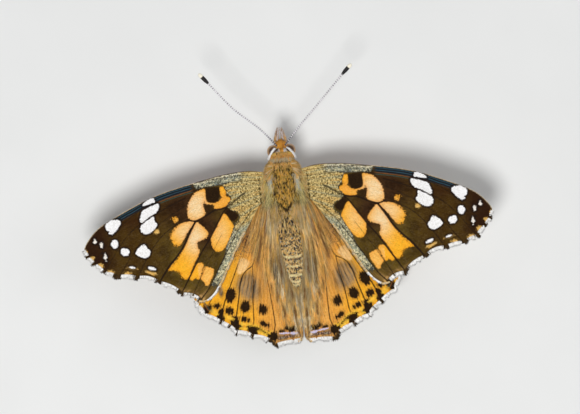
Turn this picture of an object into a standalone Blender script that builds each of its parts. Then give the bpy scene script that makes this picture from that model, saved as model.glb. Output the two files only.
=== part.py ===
# A painted lady butterfly at life size, standing on its four walking legs with its wings open.
# Sizes are in millimetres in the insect's own frame: x to its right, y towards its head, z above the floor.
# Each object's mesh is stored in metres, and is shifted so that the origin lies on the floor under the middle.
import math

import bmesh
import bpy
import numpy as np
from mathutils.geometry import delaunay_2d_cdt

metres_per_mm = 0.001
gap = 0.3  # clear space between two neighbouring pieces
body_forward = 0.65  # from the origin to the body's reference point, along y

# Posture
belly_bend = 0.045  # how far the hind body swings to the right for each millimetre behind the thorax
bend_start = -1.5
head_shift = 0.13  # the head sits this far to the right of the middle line
forewing_height = 8.15  # the forewing's root above the floor
hindwing_drop = 1.25  # the hindwing lies this far under the forewing's sheet
left_hindwing_sweep = -4.5  # degrees; the left hindwing is drawn further in than the right one
hindwing_pivot = (2.5, 1.0)

# Rows of y, centre height, half width and half height, from front to back
head_rows = ((9.35, 6.75, 0.75, 0.8), (8.9, 6.75, 1.35, 1.25), (8.0, 6.72, 1.8, 1.55), (6.9, 6.7, 1.6, 1.4))
thorax_rows = (
    (6.6, 6.55, 1.85, 1.55),
    (5.6, 6.45, 2.2, 2.1),
    (4.2, 6.3, 2.6, 2.55),
    (2.4, 6.2, 2.75, 2.75),
    (0.6, 6.15, 2.6, 2.65),
    (-0.8, 6.1, 2.2, 2.25),
    (-1.6, 6.05, 1.95, 2.0),
)
abdomen_rows = (
    (-1.9, 6.0, 1.75, 1.8),
    (-4.4, 5.95, 2.0, 2.0),
    (-7.2, 5.8, 1.95, 1.95),
    (-10.0, 5.6, 1.55, 1.6),
    (-12.2, 5.4, 1.0, 1.1),
    (-13.4, 5.25, 0.4, 0.5),
)
eye_inner_face = 1.25  # the flat side of each eye, from the head's middle
eye_centre = (7.95, 6.85)
eye_half_sizes = (1.08, 1.12, 1.35)

# Wings, as seen from above: x outwards from the middle line, y towards the head
forewing = {
    "thickness": 0.5,
    "leading": ((1.0, 4.6), (3.0, 5.0), (5.5, 5.4), (9.0, 5.2), (13.0, 4.5), (18.0, 3.45), (22.0, 2.15),
                (26.0, 0.4), (29.0, -1.2), (30.8, -3.0), (31.7, -4.6)),
    "ends": {"R4": (31.35, -5.7), "R5": (30.35, -6.85), "M1": (28.95, -8.35), "M2": (26.85, -9.2),
             "M3": (23.9, -9.6), "Cu1": (20.7, -10.65), "Cu2": (17.35, -12.85), "A2": (14.7, -13.95)},
    "scallops": (0.1, 0.12, 0.15, 0.18, 0.22, 0.38, 0.34, 0.35),
    "trailing": ((14.7, -13.95), (13.5, -14.1), (12.2, -13.3), (11.1, -12.0), (9.9, -10.0), (8.3, -7.25),
                 (6.8, -4.7), (5.3, -2.5), (4.0, -0.4), (2.6, 1.2), (1.0, 1.6)),
    "veins": {
        "Sc": ((3.2, 4.6), (8.0, 4.75), (13.8, 4.33)),
        "R1": ((11.8, 3.55), (15.0, 3.55), (18.6, 3.28)),
        "R2": ((15.2, 2.85), (18.5, 2.8), (22.6, 1.93)),
        "R5": ((3.2, 3.8), (8.0, 3.85), (12.0, 3.5), (15.2, 2.85), (19.8, 1.9), (22.2, 1.1), (25.0, -0.8),
               (27.4, -3.1), (30.35, -6.85)),
        "R3": ((22.2, 1.1), (25.2, 0.2), (27.8, -0.5)),
        "R4": ((25.9, -1.6), (28.9, -3.5), (31.35, -5.7)),
        "M1": ((15.2, 2.2), (17.5, 1.3), (20.4, 0.0), (22.6, -1.1), (24.6, -2.7), (26.4, -4.8), (28.95, -8.35)),
        "M2": ((15.5, 0.9), (17.6, -0.2), (20.0, -1.7), (21.6, -2.8), (24.0, -5.4), (25.4, -7.3), (26.85, -9.2)),
        "M3": ((15.3, -1.2), (17.6, -2.1), (19.5, -3.4), (21.2, -5.3), (22.3, -6.9), (23.9, -9.6)),
        "Cu": ((3.2, 2.7), (7.0, 1.3), (9.3, 0.15), (12.4, -1.0), (14.2, -1.5), (15.3, -1.2)),
        "Cu1": ((14.2, -1.5), (15.3, -3.0), (16.9, -5.2), (18.9, -8.1), (20.7, -10.65)),
        "Cu2": ((8.8, 0.4), (10.4, -1.8), (12.0, -4.1), (14.2, -7.3), (16.0, -10.1), (17.35, -12.85)),
        "A2": ((3.2, 1.7), (5.7, -0.9), (8.3, -4.2), (10.2, -7.0), (12.2, -10.3), (14.7, -13.95)),
    },
}
hindwing = {
    "thickness": 0.5,
    "leading": ((0.8, 1.0), (3.0, 1.4), (6.0, 0.6), (9.6, -1.9), (13.2, -6.0), (15.9, -10.2), (16.85, -13.0)),
    "ends": {"Rs": (16.35, -13.9), "M1": (15.7, -15.35), "M2": (13.35, -16.95), "M3": (11.3, -18.95),
             "Cu1": (8.85, -20.05), "Cu2": (5.75, -22.15), "A2": (1.75, -22.05)},
    "scallops": (0.05, 0.1, 0.16, 0.22, 0.3, 0.55, 0.4),
    "trailing": ((1.75, -22.05), (1.2, -21.3), (0.95, -20.3), (0.7, -18.0), (0.5, -13.5), (0.3, -8.0),
                 (0.3, -3.0), (0.5, -0.6)),
    "veins": {
        "ScR1": ((3.0, 0.5), (7.2, -0.9), (12.0, -5.6), (15.3, -10.6), (16.85, -13.0)),
        "Rs": ((5.6, -1.3), (10.4, -5.8), (14.2, -11.0), (16.35, -13.9)),
        "M1": ((3.0, -0.3), (5.6, -1.3), (9.9, -6.9), (13.0, -11.4), (15.7, -15.35)),
        "M2": ((6.4, -3.6), (9.0, -8.3), (11.5, -12.6), (13.35, -16.95)),
        "M3": ((2.9, -1.1), (4.6, -4.0), (6.0, -7.0), (6.9, -8.9), (9.1, -11.3), (10.3, -14.7), (11.3, -18.95)),
        "Cu1": ((6.9, -8.9), (7.2, -12.0), (8.1, -16.2), (8.85, -20.05)),
        "Cu2": ((4.6, -4.0), (4.95, -9.0), (5.0, -15.0), (5.75, -22.15)),
        "A2": ((2.9, -2.6), (3.2, -8.0), (2.8, -15.0), (2.7, -21.6)),
    },
}
vein_half_width = 0.32
vein_height = 0.14
vein_step = 1.5  # spacing of the mesh points along a vein
edge_step = 0.85  # and along the wing's outline
membrane_step = 2.7  # and over the membrane between them

# Legs: the hip, the heading of the leg's upright plane from straight outwards, and the joints as reach and height
walking_legs = {
    "midleg": {"hip": (1.0, 2.2), "heading": 12.0, "joints": ((0.0, 4.6), (4.4, 6.15), (6.3, 0.9), (6.9, 0.0), (9.6, 0.0))},
    "hindleg": {"hip": (0.8, 0.2), "heading": -50.0, "joints": ((0.0, 4.6), (5.4, 5.7), (8.5, 0.95), (9.2, 0.0), (12.2, 0.0))},
}
leg_radii = (0.5, 0.36, 0.3, 0.28, 0.28)
foot_sides = 8
foreleg_path = ((0.95, 4.9, 4.9), (1.25, 6.4, 4.25), (1.3, 7.6, 4.35), (1.15, 8.6, 4.75))
foreleg_radii = (0.38, 0.34, 0.3, 0.26)

antenna_paths = {
    "right": ((0.75, 8.7, 7.0), (1.15, 9.2, 7.8), (3.2, 11.4, 8.6), (7.0, 15.1, 9.6), (10.6, 18.7, 10.3), (11.95, 19.95, 10.5)),
    "left": ((-0.5, 8.7, 7.0), (-0.9, 9.3, 7.8), (-2.9, 11.7, 8.6), (-6.7, 15.2, 9.6), (-10.0, 19.3, 10.3), (-11.15, 20.75, 10.5)),
}
antenna_radius = 0.25
club_radius = 0.39
club_length = 2.1
palp_path = ((0.62, 8.6, 6.2), (0.62, 9.6, 6.2), (0.5, 10.5, 6.6), (0.29, 11.55, 7.15))
palp_radii = (0.42, 0.44, 0.34, 0.13)
coil_centre = (8.6, 4.35)  # the rolled tongue, under the face
coil_radii = (0.66, 0.1)
coil_turns = 1.1
coil_thickness = 0.25


# Curves and sections
def smooth_through(points, step=None, count=None):
    # A Catmull-Rom curve through the points, read at even steps along its length.
    points = np.array(points, float)
    padded = np.vstack([2 * points[0] - points[1], points, 2 * points[-1] - points[-2]])
    fine = []
    for before, start, end, after in zip(padded, padded[1:], padded[2:], padded[3:]):
        t = np.linspace(0, 1, 24, endpoint=False)[:, None]
        fine.append(0.5 * (2 * start + (end - before) * t + (2 * before - 5 * start + 4 * end - after) * t**2
                           + (3 * start - before - 3 * end + after) * t**3))
    fine = np.vstack([*fine, points[-1:]])
    along = np.concatenate([[0], np.cumsum(np.linalg.norm(np.diff(fine, axis=0), axis=1))])
    if count is None:
        count = max(2, int(round(along[-1] / step)) + 1)
    wanted = np.linspace(0, along[-1], count)
    return np.column_stack([np.interp(wanted, along, fine[:, k]) for k in range(fine.shape[1])])


def middle_line(y):
    # The sideways place of the body's middle, which swings to the right behind the thorax.
    return belly_bend * np.maximum(0.0, bend_start - np.asarray(y, float))


def wing_sheet(x, y):
    # The height of the gently arched sheet that a spread wing follows, x being the distance outwards.
    span = np.clip((x - 3.0) / 29.0, -0.1, 1.0)
    arch = 0.45 * np.sin(math.pi * span)
    inner_dip = -0.7 * np.exp(-np.maximum(x, 0.0) / 1.6) * np.clip(-y / 4.0, 0.0, 1.0)
    return forewing_height + 2.5 * span + arch - 0.0065 * (y + 2.5) ** 2 + inner_dip


# Meshes
def finish_object(name, bm, colour, roughness):
    # Puts a mesh into the scene as one object, in metres about the origin, with a material of its own.
    for vertex in bm.verts:
        vertex.co.y += body_forward
        vertex.co *= metres_per_mm
    mesh = bpy.data.meshes.new(name)
    bm.to_mesh(mesh)
    bm.free()
    mesh.shade_smooth()
    mesh.set_sharp_from_angle(angle=math.radians(45))
    obj = bpy.data.objects.new(name, mesh)
    bpy.context.scene.collection.objects.link(obj)
    material = bpy.data.materials.new(name)
    material.use_nodes = True
    shader = material.node_tree.nodes["Principled BSDF"]
    shader.inputs["Base Color"].default_value = (*colour, 1.0)
    shader.inputs["Roughness"].default_value = roughness
    shader.inputs["Metallic"].default_value = 0.0
    mesh.materials.append(material)
    return obj


def skin_rings(rings):
    # A closed mesh over rings of points, with a flat cap at each end and its faces pointing out.
    bm = bmesh.new()
    rows = [[bm.verts.new(point) for point in ring] for ring in rings]
    for a, b in zip(rows, rows[1:]):
        for k in range(len(a)):
            n = (k + 1) % len(a)
            bm.faces.new((a[k], a[n], b[n], b[k]))
    bm.faces.new(rows[0][::-1])
    bm.faces.new(rows[-1])
    bmesh.ops.recalc_face_normals(bm, faces=bm.faces)
    return bm


def body_rings(rows, count, sides, shift=None, grow=0.0, side_limit=None, swell=None):
    # Rounded cross-sections along the body, from the rows of a table; grow makes every one of them larger.
    squareness = 2.25
    table = smooth_through(rows, count=count)
    if grow:
        table[0, 0] += grow
        table[-1, 0] -= grow
    angles = 2 * math.pi * (np.arange(sides) + 0.5) / sides
    across = np.sign(np.cos(angles)) * np.abs(np.cos(angles)) ** (2 / squareness)
    upwards = np.sign(np.sin(angles)) * np.abs(np.sin(angles)) ** (2 / squareness)
    rings = []
    for index, (y, height, half_width, half_height) in enumerate(table):
        scale = 1.0 if swell is None else swell[index]
        x = across * (half_width * scale + grow)
        if side_limit is not None:
            x = np.clip(x, -side_limit, side_limit)
        z = height + upwards * (half_height * scale + grow)
        centre = middle_line(y) if shift is None else shift
        rings.append(np.column_stack([x + centre, np.full(sides, y), z]))
    return rings


def tube_rings(path, radii, sides, side_axis=None):
    # Rings across a path. side_axis is a fixed direction across it; without one it is level.
    path = np.array(path, float)
    tangents = np.gradient(path, axis=0)
    tangents /= np.linalg.norm(tangents, axis=1)[:, None]
    across = np.cross(tangents, (0.0, 0.0, 1.0)) if side_axis is None else np.tile(side_axis, (len(path), 1))
    across = across / np.linalg.norm(across, axis=1)[:, None]
    upright = np.cross(across, tangents)
    angles = 2 * math.pi * (np.arange(sides) + 0.5) / sides
    return [
        centre + radius * (np.cos(angles)[:, None] * side + np.sin(angles)[:, None] * up)
        for centre, radius, side, up in zip(path, radii, across, upright)
    ]


def cutter_from(name, rings):
    # A helper that the build leaves out: the clear space that a body part keeps round itself.
    cutter = finish_object(name, skin_rings(rings), (0.5, 0.5, 0.5), 0.5)
    cutter.hide_render = True
    cutter.display_type = "WIRE"
    return cutter


def cut_clear(obj, cutters):
    # Takes the neighbour's clear space away from an object whose root starts inside that neighbour.
    for cutter in cutters:
        boolean = obj.modifiers.new("clear of " + cutter.name, "BOOLEAN")
        boolean.operation = "DIFFERENCE"
        boolean.object = cutter


# Body
def make_thorax():
    rings = body_rings(thorax_rows, 11, 20)
    return finish_object("thorax", skin_rings(rings), (0.32, 0.21, 0.09), 0.85)


def make_head():
    rings = body_rings(head_rows, 7, 24, shift=head_shift, side_limit=eye_inner_face - gap)
    return finish_object("head", skin_rings(rings), (0.5, 0.33, 0.16), 0.85)


def abdomen_table():
    # Seven segments, each a little narrower where it joins the one before.
    segments = 7
    shares = (0.0, 0.3, 0.8)
    places = [(s + f) / segments for s in range(segments) for f in shares] + [1.0]
    swell = [0.93 if f == 0.0 else 1.0 for _ in range(segments) for f in shares] + [1.0]
    fine = smooth_through(abdomen_rows, count=200)
    at = np.array(places) * (len(fine) - 1)
    rows = np.column_stack([np.interp(at, np.arange(len(fine)), fine[:, k]) for k in range(4)])
    return rows, swell


def make_abdomen():
    rows, swell = abdomen_table()
    rings = body_rings(rows, len(rows), 16, swell=swell)
    return finish_object("abdomen", skin_rings(rings), (0.42, 0.31, 0.16), 0.85)


def make_eye(side_name, side):
    # Half an ellipsoid whose flat side faces the head.
    half_x, half_y, half_z = eye_half_sizes
    levels, sides = 7, 20
    angles = 2 * math.pi * np.arange(sides) / sides
    rings = []
    for level in np.linspace(0.0, 0.97, levels):
        lift = math.sin(level * math.pi / 2)
        width = math.cos(level * math.pi / 2)
        x = head_shift + side * (eye_inner_face + half_x * lift)
        rings.append(np.column_stack([np.full(sides, x), eye_centre[0] + half_y * width * np.cos(angles),
                                      eye_centre[1] + half_z * width * np.sin(angles)]))
    return finish_object("eye_" + side_name, skin_rings(rings), (0.2, 0.09, 0.04), 0.3)


# Head parts
def make_antenna(side_name, cutters):
    # A thin shaft that ends in a rounded club.
    path = smooth_through(antenna_paths[side_name], step=0.8)
    to_tip = np.linalg.norm(np.diff(path, axis=0), axis=1)[::-1].cumsum()[::-1]
    to_tip = np.concatenate([to_tip, [0.0]])
    swelling = np.clip(1 - to_tip / club_length, 0, 1) ** 0.6
    radii = antenna_radius + (club_radius - antenna_radius) * swelling
    tip = path[-1] - path[-2]
    tip /= np.linalg.norm(tip)
    path = np.vstack([path, path[-1] + 0.22 * tip, path[-1] + 0.34 * tip])
    radii = np.concatenate([radii, [0.75 * club_radius, 0.3 * club_radius]])
    antenna = finish_object("antenna_" + side_name, skin_rings(tube_rings(path, radii, 8)), (0.75, 0.72, 0.72), 0.7)
    cut_clear(antenna, cutters)


def make_palp(side_name, side, cutters):
    path = smooth_through(palp_path, count=8)
    radii = np.interp(np.linspace(0, 1, 8), np.linspace(0, 1, len(palp_radii)), palp_radii)
    path[:, 0] = head_shift + side * path[:, 0]
    palp = finish_object("palp_" + side_name, skin_rings(tube_rings(path, radii, 10)), (0.72, 0.55, 0.4), 0.8)
    cut_clear(palp, cutters)


def make_proboscis(cutters):
    # The rolled tongue: a stem down from the face, then a spiral that closes in on its centre.
    turn = np.linspace(0, 2 * math.pi * coil_turns, 18)
    radius = np.linspace(*coil_radii, len(turn))
    y = coil_centre[0] + radius * np.cos(turn)
    z = coil_centre[1] - radius * np.sin(turn)
    stem = np.array([[head_shift, coil_centre[0] + coil_radii[0], coil_centre[1] + rise] for rise in (1.6, 0.9, 0.4)])
    coil = np.column_stack([np.full(len(turn), head_shift), y, z])
    rings = tube_rings(np.vstack([stem, coil]), [coil_thickness] * (len(stem) + len(turn)), 8, side_axis=(1.0, 0.0, 0.0))
    proboscis = finish_object("proboscis", skin_rings(rings), (0.22, 0.13, 0.06), 0.5)
    cut_clear(proboscis, cutters)


# Legs
def leg_path(leg, side):
    # The joints of a walking leg in space: it lies in one upright plane through its hip.
    heading = math.radians(leg["heading"])
    foot_rise = leg_radii[-1] * math.cos(math.pi / foot_sides)
    path = []
    for reach, height in leg["joints"]:
        x = leg["hip"][0] + reach * math.cos(heading)
        y = leg["hip"][1] + reach * math.sin(heading)
        path.append((side * x, y, max(height, foot_rise)))
    return np.array(path)


def make_leg(name, leg, side, cutters):
    # Thigh, shin and foot. The foot's underside is one flat strip on the floor.
    joints = leg_path(leg, side)
    path, radii = [], []
    for index, (joint, radius) in enumerate(zip(joints, leg_radii)):
        if 0 < index < len(joints) - 1:
            before = joints[index - 1] - joint
            after = joints[index + 1] - joint
            reach = 0.28
            for way in (before, after):
                path.append(joint + reach * way / np.linalg.norm(way))
                radii.append(radius)
        else:
            path.append(joint)
            radii.append(radius)
    leg_object = finish_object(name, skin_rings(tube_rings(path, radii, foot_sides)), (0.45, 0.33, 0.2), 0.75)
    cut_clear(leg_object, cutters)


def make_foreleg(side_name, side, cutters):
    # The short brush-like front leg, folded against the breast.
    path = smooth_through(foreleg_path, count=9)
    radii = np.interp(np.linspace(0, 1, 9), np.linspace(0, 1, len(foreleg_radii)), foreleg_radii)
    path[:, 0] *= side
    foreleg = finish_object("foreleg_" + side_name, skin_rings(tube_rings(path, radii, 8)), (0.55, 0.42, 0.28), 0.8)
    cut_clear(foreleg, cutters)


# Wings
def swept(points, degrees):
    # The points turned about the hindwing's hinge; a negative angle draws the wing in.
    turn = math.radians(degrees)
    x = np.array(points, float)[:, 0] - hindwing_pivot[0]
    y = np.array(points, float)[:, 1] - hindwing_pivot[1]
    return np.column_stack([hindwing_pivot[0] + x * math.cos(turn) - y * math.sin(turn),
                            hindwing_pivot[1] + x * math.sin(turn) + y * math.cos(turn)])


def wing_outline(wing):
    # Leading edge, then a scallop from each vein end to the next, then the inner edge back to the root.
    leading = smooth_through(wing["leading"], step=edge_step)
    corners = [wing["leading"][-1], *wing["ends"].values()]
    margin = []
    for start, end, depth in zip(corners, corners[1:], wing["scallops"]):
        start, end = np.array(start), np.array(end)
        chord = end - start
        length = np.linalg.norm(chord)
        count = max(2, int(round(length / edge_step)))
        t = np.linspace(0, 1, count, endpoint=False)[1:, None]
        inward = np.array([chord[1], -chord[0]]) / length
        margin.append(start[None, :])
        margin.append(start + chord * t + inward * depth * np.sin(math.pi * t))
    trailing = smooth_through(wing["trailing"], step=edge_step)
    return np.vstack([leading[:-1], *margin, trailing])


def distance_to_path(points, path):
    # The shortest way from each point to a line of straight stretches.
    starts, ends = path[:-1], path[1:]
    runs = ends - starts
    to_point = points[:, None, :] - starts[None]
    share = np.clip((to_point * runs[None]).sum(2) / (runs**2).sum(1)[None], 0, 1)
    return np.linalg.norm(to_point - share[..., None] * runs[None], axis=2).min(1)


def inside(points, loop):
    # True where a point lies inside a closed outline, by counting the edges to its right.
    x, y = points[:, 0][:, None], points[:, 1][:, None]
    a, b = loop[None], np.roll(loop, -1, axis=0)[None]
    crosses = (a[..., 1] > y) != (b[..., 1] > y)
    rise = np.where(b[..., 1] == a[..., 1], 1e-9, b[..., 1] - a[..., 1])
    return (crosses & (x < a[..., 0] + (y - a[..., 1]) * (b[..., 0] - a[..., 0]) / rise)).sum(1) % 2 == 1


def feet_of(path, others, outline):
    # The two lines where a vein's ridge meets the membrane, in runs that keep clear of everything else.
    tangents = np.gradient(path, axis=0)
    tangents /= np.linalg.norm(tangents, axis=1)[:, None]
    normals = np.column_stack([-tangents[:, 1], tangents[:, 0]])
    closed = np.vstack([outline, outline[:1]])
    for sign in (-1, 1):
        line = (path + sign * vein_half_width * normals)[:-1]
        clear = (distance_to_path(line, closed) > 0.3) & inside(line, outline)
        for other in others:
            clear &= distance_to_path(line, other) > 1.9 * vein_half_width
        yield line, clear


def wing_mesh_plan(wing, outline, sweep):
    # Flat points, triangles and each point's share of the vein's height. Veins, their feet and the outline are edges.
    crests = [swept(smooth_through(path, step=vein_step), sweep) for path in wing["veins"].values()]
    points = [tuple(p) for p in outline]
    edges = [(k, (k + 1) % len(outline)) for k in range(len(outline))]

    def place(point):
        # The number of the point, which is an earlier one where that is close by.
        apart = np.linalg.norm(np.array(points) - point, axis=1)
        nearest = int(apart.argmin())
        if apart[nearest] < 0.28:
            return nearest
        points.append(tuple(point))
        return len(points) - 1

    for index, crest in enumerate(crests):
        numbers = [place(point) for point in crest]
        edges += [(a, b) for a, b in zip(numbers, numbers[1:]) if a != b]
        others = [c for k, c in enumerate(crests) if k != index]
        for line, clear in feet_of(crest, others, outline):
            numbers = [place(point) if good else None for point, good in zip(line, clear)]
            edges += [(a, b) for a, b in zip(numbers, numbers[1:]) if a is not None and b is not None and a != b]
    low, high = outline.min(0), outline.max(0)
    rows = np.arange(low[1], high[1], membrane_step * 0.87)
    for row, y in enumerate(rows):
        for x in np.arange(low[0] + (row % 2) * membrane_step / 2, high[0], membrane_step):
            spot = np.array([[x, y]])
            away = np.linalg.norm(np.array(points) - spot, axis=1).min()
            if away > 0.42 * membrane_step and inside(spot, outline)[0]:
                points.append((x, y))
    loop = list(range(len(outline)))
    found = delaunay_2d_cdt(points, edges, [loop], 1, 1e-5)
    flat = np.array([tuple(v) for v in found[0]])
    nearest = np.min([distance_to_path(flat, crest) for crest in crests], axis=0)
    return flat, found[2], np.clip(1 - nearest / vein_half_width, 0, 1)


def make_wing(name, wing, side, drop, sweep, colour, cutters):
    # Two faces split into triangles alike, the wing's thickness apart, with its veins raised on both.
    outline = swept(wing_outline(wing), sweep)
    if drop:
        outline[:, 0] = np.maximum(outline[:, 0], side * middle_line(outline[:, 1]) + gap / 2)
    flat, triangles, ridge = wing_mesh_plan(wing, outline, sweep)
    middle = wing_sheet(flat[:, 0], flat[:, 1]) - drop
    half = wing["thickness"] / 2 + ridge * vein_height
    bm = bmesh.new()
    top = [bm.verts.new((side * x, y, z)) for (x, y), z in zip(flat, middle + half)]
    under = [bm.verts.new((side * x, y, z)) for (x, y), z in zip(flat, middle - half)]
    for a, b, c in triangles:
        bm.faces.new((top[a], top[b], top[c]))
        bm.faces.new((under[c], under[b], under[a]))
    below = dict(zip(top, under))
    for edge in [e for e in bm.edges if len(e.link_faces) == 1 and e.verts[0] in below]:
        a, b = edge.verts
        bm.faces.new((a, b, below[b]))
        bm.faces.new((a, below[b], below[a]))
    bmesh.ops.recalc_face_normals(bm, faces=bm.faces)
    wing_object = finish_object(name, bm, colour, 0.7)
    cut_clear(wing_object, cutters)


def main():
    for obj in list(bpy.data.objects):
        bpy.data.objects.remove(obj)
    make_thorax()
    make_head()
    make_abdomen()
    round_thorax = cutter_from("clear_thorax", body_rings(thorax_rows, 11, 20, grow=gap))
    round_head = cutter_from(
        "clear_head", body_rings(head_rows, 7, 24, shift=head_shift, grow=gap, side_limit=eye_inner_face))
    rows, swell = abdomen_table()
    round_abdomen = cutter_from("clear_abdomen", body_rings(rows, len(rows), 16, swell=swell, grow=gap))
    make_proboscis([round_head])
    for side_name, side in (("left", -1), ("right", 1)):
        make_eye(side_name, side)
        make_antenna(side_name, [round_head])
        make_palp(side_name, side, [round_head])
        make_foreleg(side_name, side, [round_thorax])
        for leg_name, leg in walking_legs.items():
            make_leg(leg_name + "_" + side_name, leg, side, [round_thorax])
        make_wing("forewing_" + side_name, forewing, side, 0.0, 0.0, (0.75, 0.38, 0.12), [round_thorax])
        sweep = left_hindwing_sweep if side < 0 else 0.0
        make_wing("hindwing_" + side_name, hindwing, side, hindwing_drop, sweep, (0.7, 0.36, 0.12),
                  [round_thorax, round_abdomen])


main()
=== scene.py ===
# A painted lady butterfly with its wings open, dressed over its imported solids.
# Shapes are worked out in millimetres in the insect's own frame (x to its right, y to its head, z above the
# floor) and are stored in metres.
import math

import bpy
import numpy as np
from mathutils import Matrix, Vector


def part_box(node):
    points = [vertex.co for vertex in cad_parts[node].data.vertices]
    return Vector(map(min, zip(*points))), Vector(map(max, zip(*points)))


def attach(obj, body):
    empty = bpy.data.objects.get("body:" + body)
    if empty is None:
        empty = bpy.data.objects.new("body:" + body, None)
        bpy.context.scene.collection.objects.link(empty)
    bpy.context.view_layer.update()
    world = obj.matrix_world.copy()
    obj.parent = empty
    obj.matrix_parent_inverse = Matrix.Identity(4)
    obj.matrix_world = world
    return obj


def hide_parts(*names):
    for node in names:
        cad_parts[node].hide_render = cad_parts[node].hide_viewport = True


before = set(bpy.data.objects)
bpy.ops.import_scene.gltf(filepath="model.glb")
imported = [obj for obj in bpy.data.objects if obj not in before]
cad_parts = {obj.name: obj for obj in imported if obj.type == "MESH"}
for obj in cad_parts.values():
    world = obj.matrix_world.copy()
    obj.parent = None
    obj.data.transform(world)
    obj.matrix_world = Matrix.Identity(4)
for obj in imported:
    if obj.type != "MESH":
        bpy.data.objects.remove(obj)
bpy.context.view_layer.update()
print("frame loaded:", len(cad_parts), "nodes")

metresPerMm = 0.001
fullTurn = 2 * math.pi
bothSides = (("left", -1), ("right", 1))
thoraxFront = 6.6  # y of the thorax's front end in the insect's own frame
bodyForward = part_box("thorax")[1][1] / metresPerMm - thoraxFront  # from that frame to the solids' frame
bellyBend, bendStart = 0.045, -1.5  # the hind body swings to the right behind the thorax
headShift = 0.13


# Curves and distances
def lengthAlong(line):
    # Running sum of the distances between neighbours, from 0.
    return np.concatenate([[0], np.cumsum(np.linalg.norm(np.diff(line, axis=0), axis=1))])


def evenly(line, count):
    # The same line read at even steps of its own length.
    along = lengthAlong(line)
    wanted = np.linspace(0, along[-1], count)
    return np.column_stack([np.interp(wanted, along, column) for column in line.T])


def smoothCurve(points, count=None, step=None, closed=False):
    # Through four neighbours p0..p3 goes the cubic with slope (p2 - p0) / 2 at p1 and (p3 - p1) / 2 at p2;
    # the whole is then read again at even steps of its own length.
    points = np.array(points, float)
    if closed:
        padded = np.vstack([points[-1], points, points[0], points[1]])
    else:
        padded = np.vstack([2 * points[0] - points[1], points, 2 * points[-1] - points[-2]])
    t = np.linspace(0, 1, 16, endpoint=False)[None, :, None]
    p0, p1, p2, p3 = (padded[k:len(padded) - 3 + k, None, :] for k in range(4))
    fine = 0.5 * (2 * p1 + (p2 - p0) * t + (2 * p0 - 5 * p1 + 4 * p2 - p3) * t**2
                  + (3 * p1 - p0 - 3 * p2 + p3) * t**3)
    fine = np.vstack([fine.reshape(-1, points.shape[1]), padded[-2]])
    return evenly(fine, count or max(3, int(round(lengthAlong(fine)[-1] / step)) + 1))


def runningMean(path, width):
    # Each column averaged over so many neighbours, with its ends held.
    kernel = np.ones(width) / width
    return np.column_stack([np.convolve(np.pad(column, width // 2, mode="edge"), kernel, "valid")
                            for column in path.T])


def unit(vectors):
    # Each vector over its own length.
    return vectors / np.maximum(np.linalg.norm(vectors, axis=-1, keepdims=True), 1e-9)


def pathDistance(spots, path):
    # Each spot drops a perpendicular on each straight stretch, clipped to its ends, and keeps the shortest.
    runs = np.diff(path, axis=0)
    toSpot = spots[:, None, :] - path[:-1][None]
    share = np.clip((toSpot * runs[None]).sum(2) / np.maximum((runs**2).sum(1)[None], 1e-12), 0, 1)
    return np.linalg.norm(toSpot - share[..., None] * runs[None], axis=2).min(1)


def isInside(spots, loop):
    # A spot is inside where a line to its right crosses the loop an odd number of times.
    x, y = spots[:, :1], spots[:, 1:2]
    a, b = loop[None], np.roll(loop, -1, axis=0)[None]
    crosses = (a[..., 1] > y) != (b[..., 1] > y)
    rise = np.where(b[..., 1] == a[..., 1], 1e-9, b[..., 1] - a[..., 1])
    return (crosses & (x < a[..., 0] + (y - a[..., 1]) * (b[..., 0] - a[..., 0]) / rise)).sum(1) % 2 == 1


def ellipseLoop(x, y, halfWide, halfLong, tilt=0.0):
    # An ellipse's outline: cosine and sine of the angle, stretched to its half sizes and turned by the tilt.
    angle = np.linspace(0, fullTurn, 28, endpoint=False)
    c, s = math.cos(math.radians(tilt)), math.sin(math.radians(tilt))
    across, along = halfWide * np.cos(angle), halfLong * np.sin(angle)
    return np.column_stack([x + across * c - along * s, y + across * s + along * c])


def deepest(spots, curves, depthIn, reach=1.5):
    # The greatest depth that any curve gives each spot near it, never less than -reach.
    depth = np.full(len(spots), -reach)
    for number, curve in enumerate(curves):
        near = ((spots > curve.min(0) - reach) & (spots < curve.max(0) + reach)).all(1)
        depth[near] = np.maximum(depth[near], depthIn(spots[near], curve, number))
    return depth


def markDepth(spots, marks):
    # How deep each spot lies inside the nearest mark, an ellipse or a closed curve: plus inside, minus outside.
    def depthIn(local, loop, number):
        apart = pathDistance(local, np.vstack([loop, loop[:1]]))
        return np.where(isInside(local, loop), apart, -apart)

    return deepest(spots, [ellipseLoop(*mark) if np.ndim(mark[0]) == 0 else
                           smoothCurve(mark, step=0.25, closed=True)[:-1] for mark in marks], depthIn)


def lineDepth(spots, lines):
    # The same for dark lines, each a path with its half width at its start and at its end.
    def depthIn(local, curve, number):
        run = curve[-1] - curve[0]
        share = np.clip((local - curve[0]) @ run / (run @ run), 0, 1)
        _, startWidth, endWidth = lines[number]
        return startWidth + (endWidth - startWidth) * share - pathDistance(local, curve)

    return deepest(spots, [smoothCurve(line[0], step=0.4) for line in lines], depthIn)


def ramp(value, low, high):
    # 0 below low, 1 above high, and a smooth S between them.
    t = np.clip((value - low) / (np.asarray(high) - low), 0, 1)
    return t * t * (3 - 2 * t)


def bell(value, middle, spread):
    # e to the minus of the squared distance over the spread: 1 in the middle, 0 far away.
    return np.exp(-((value - middle) / spread) ** 2)


def blob(x, y, middleX, middleY, spreadX, spreadY):
    # A soft patch: e to the minus of each squared distance over its spread.
    return np.exp(-((x - middleX) ** 2 / spreadX + (y - middleY) ** 2 / spreadY))


def shares(**values):
    # Each value held between 0 and 1.
    return {key: np.clip(value, 0, 1) for key, value in values.items()}


def middleLine(y):
    # How far the hind body has swung to the right: its bend times the distance behind the bend's start.
    return bellyBend * np.maximum(0.0, bendStart - y)


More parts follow.
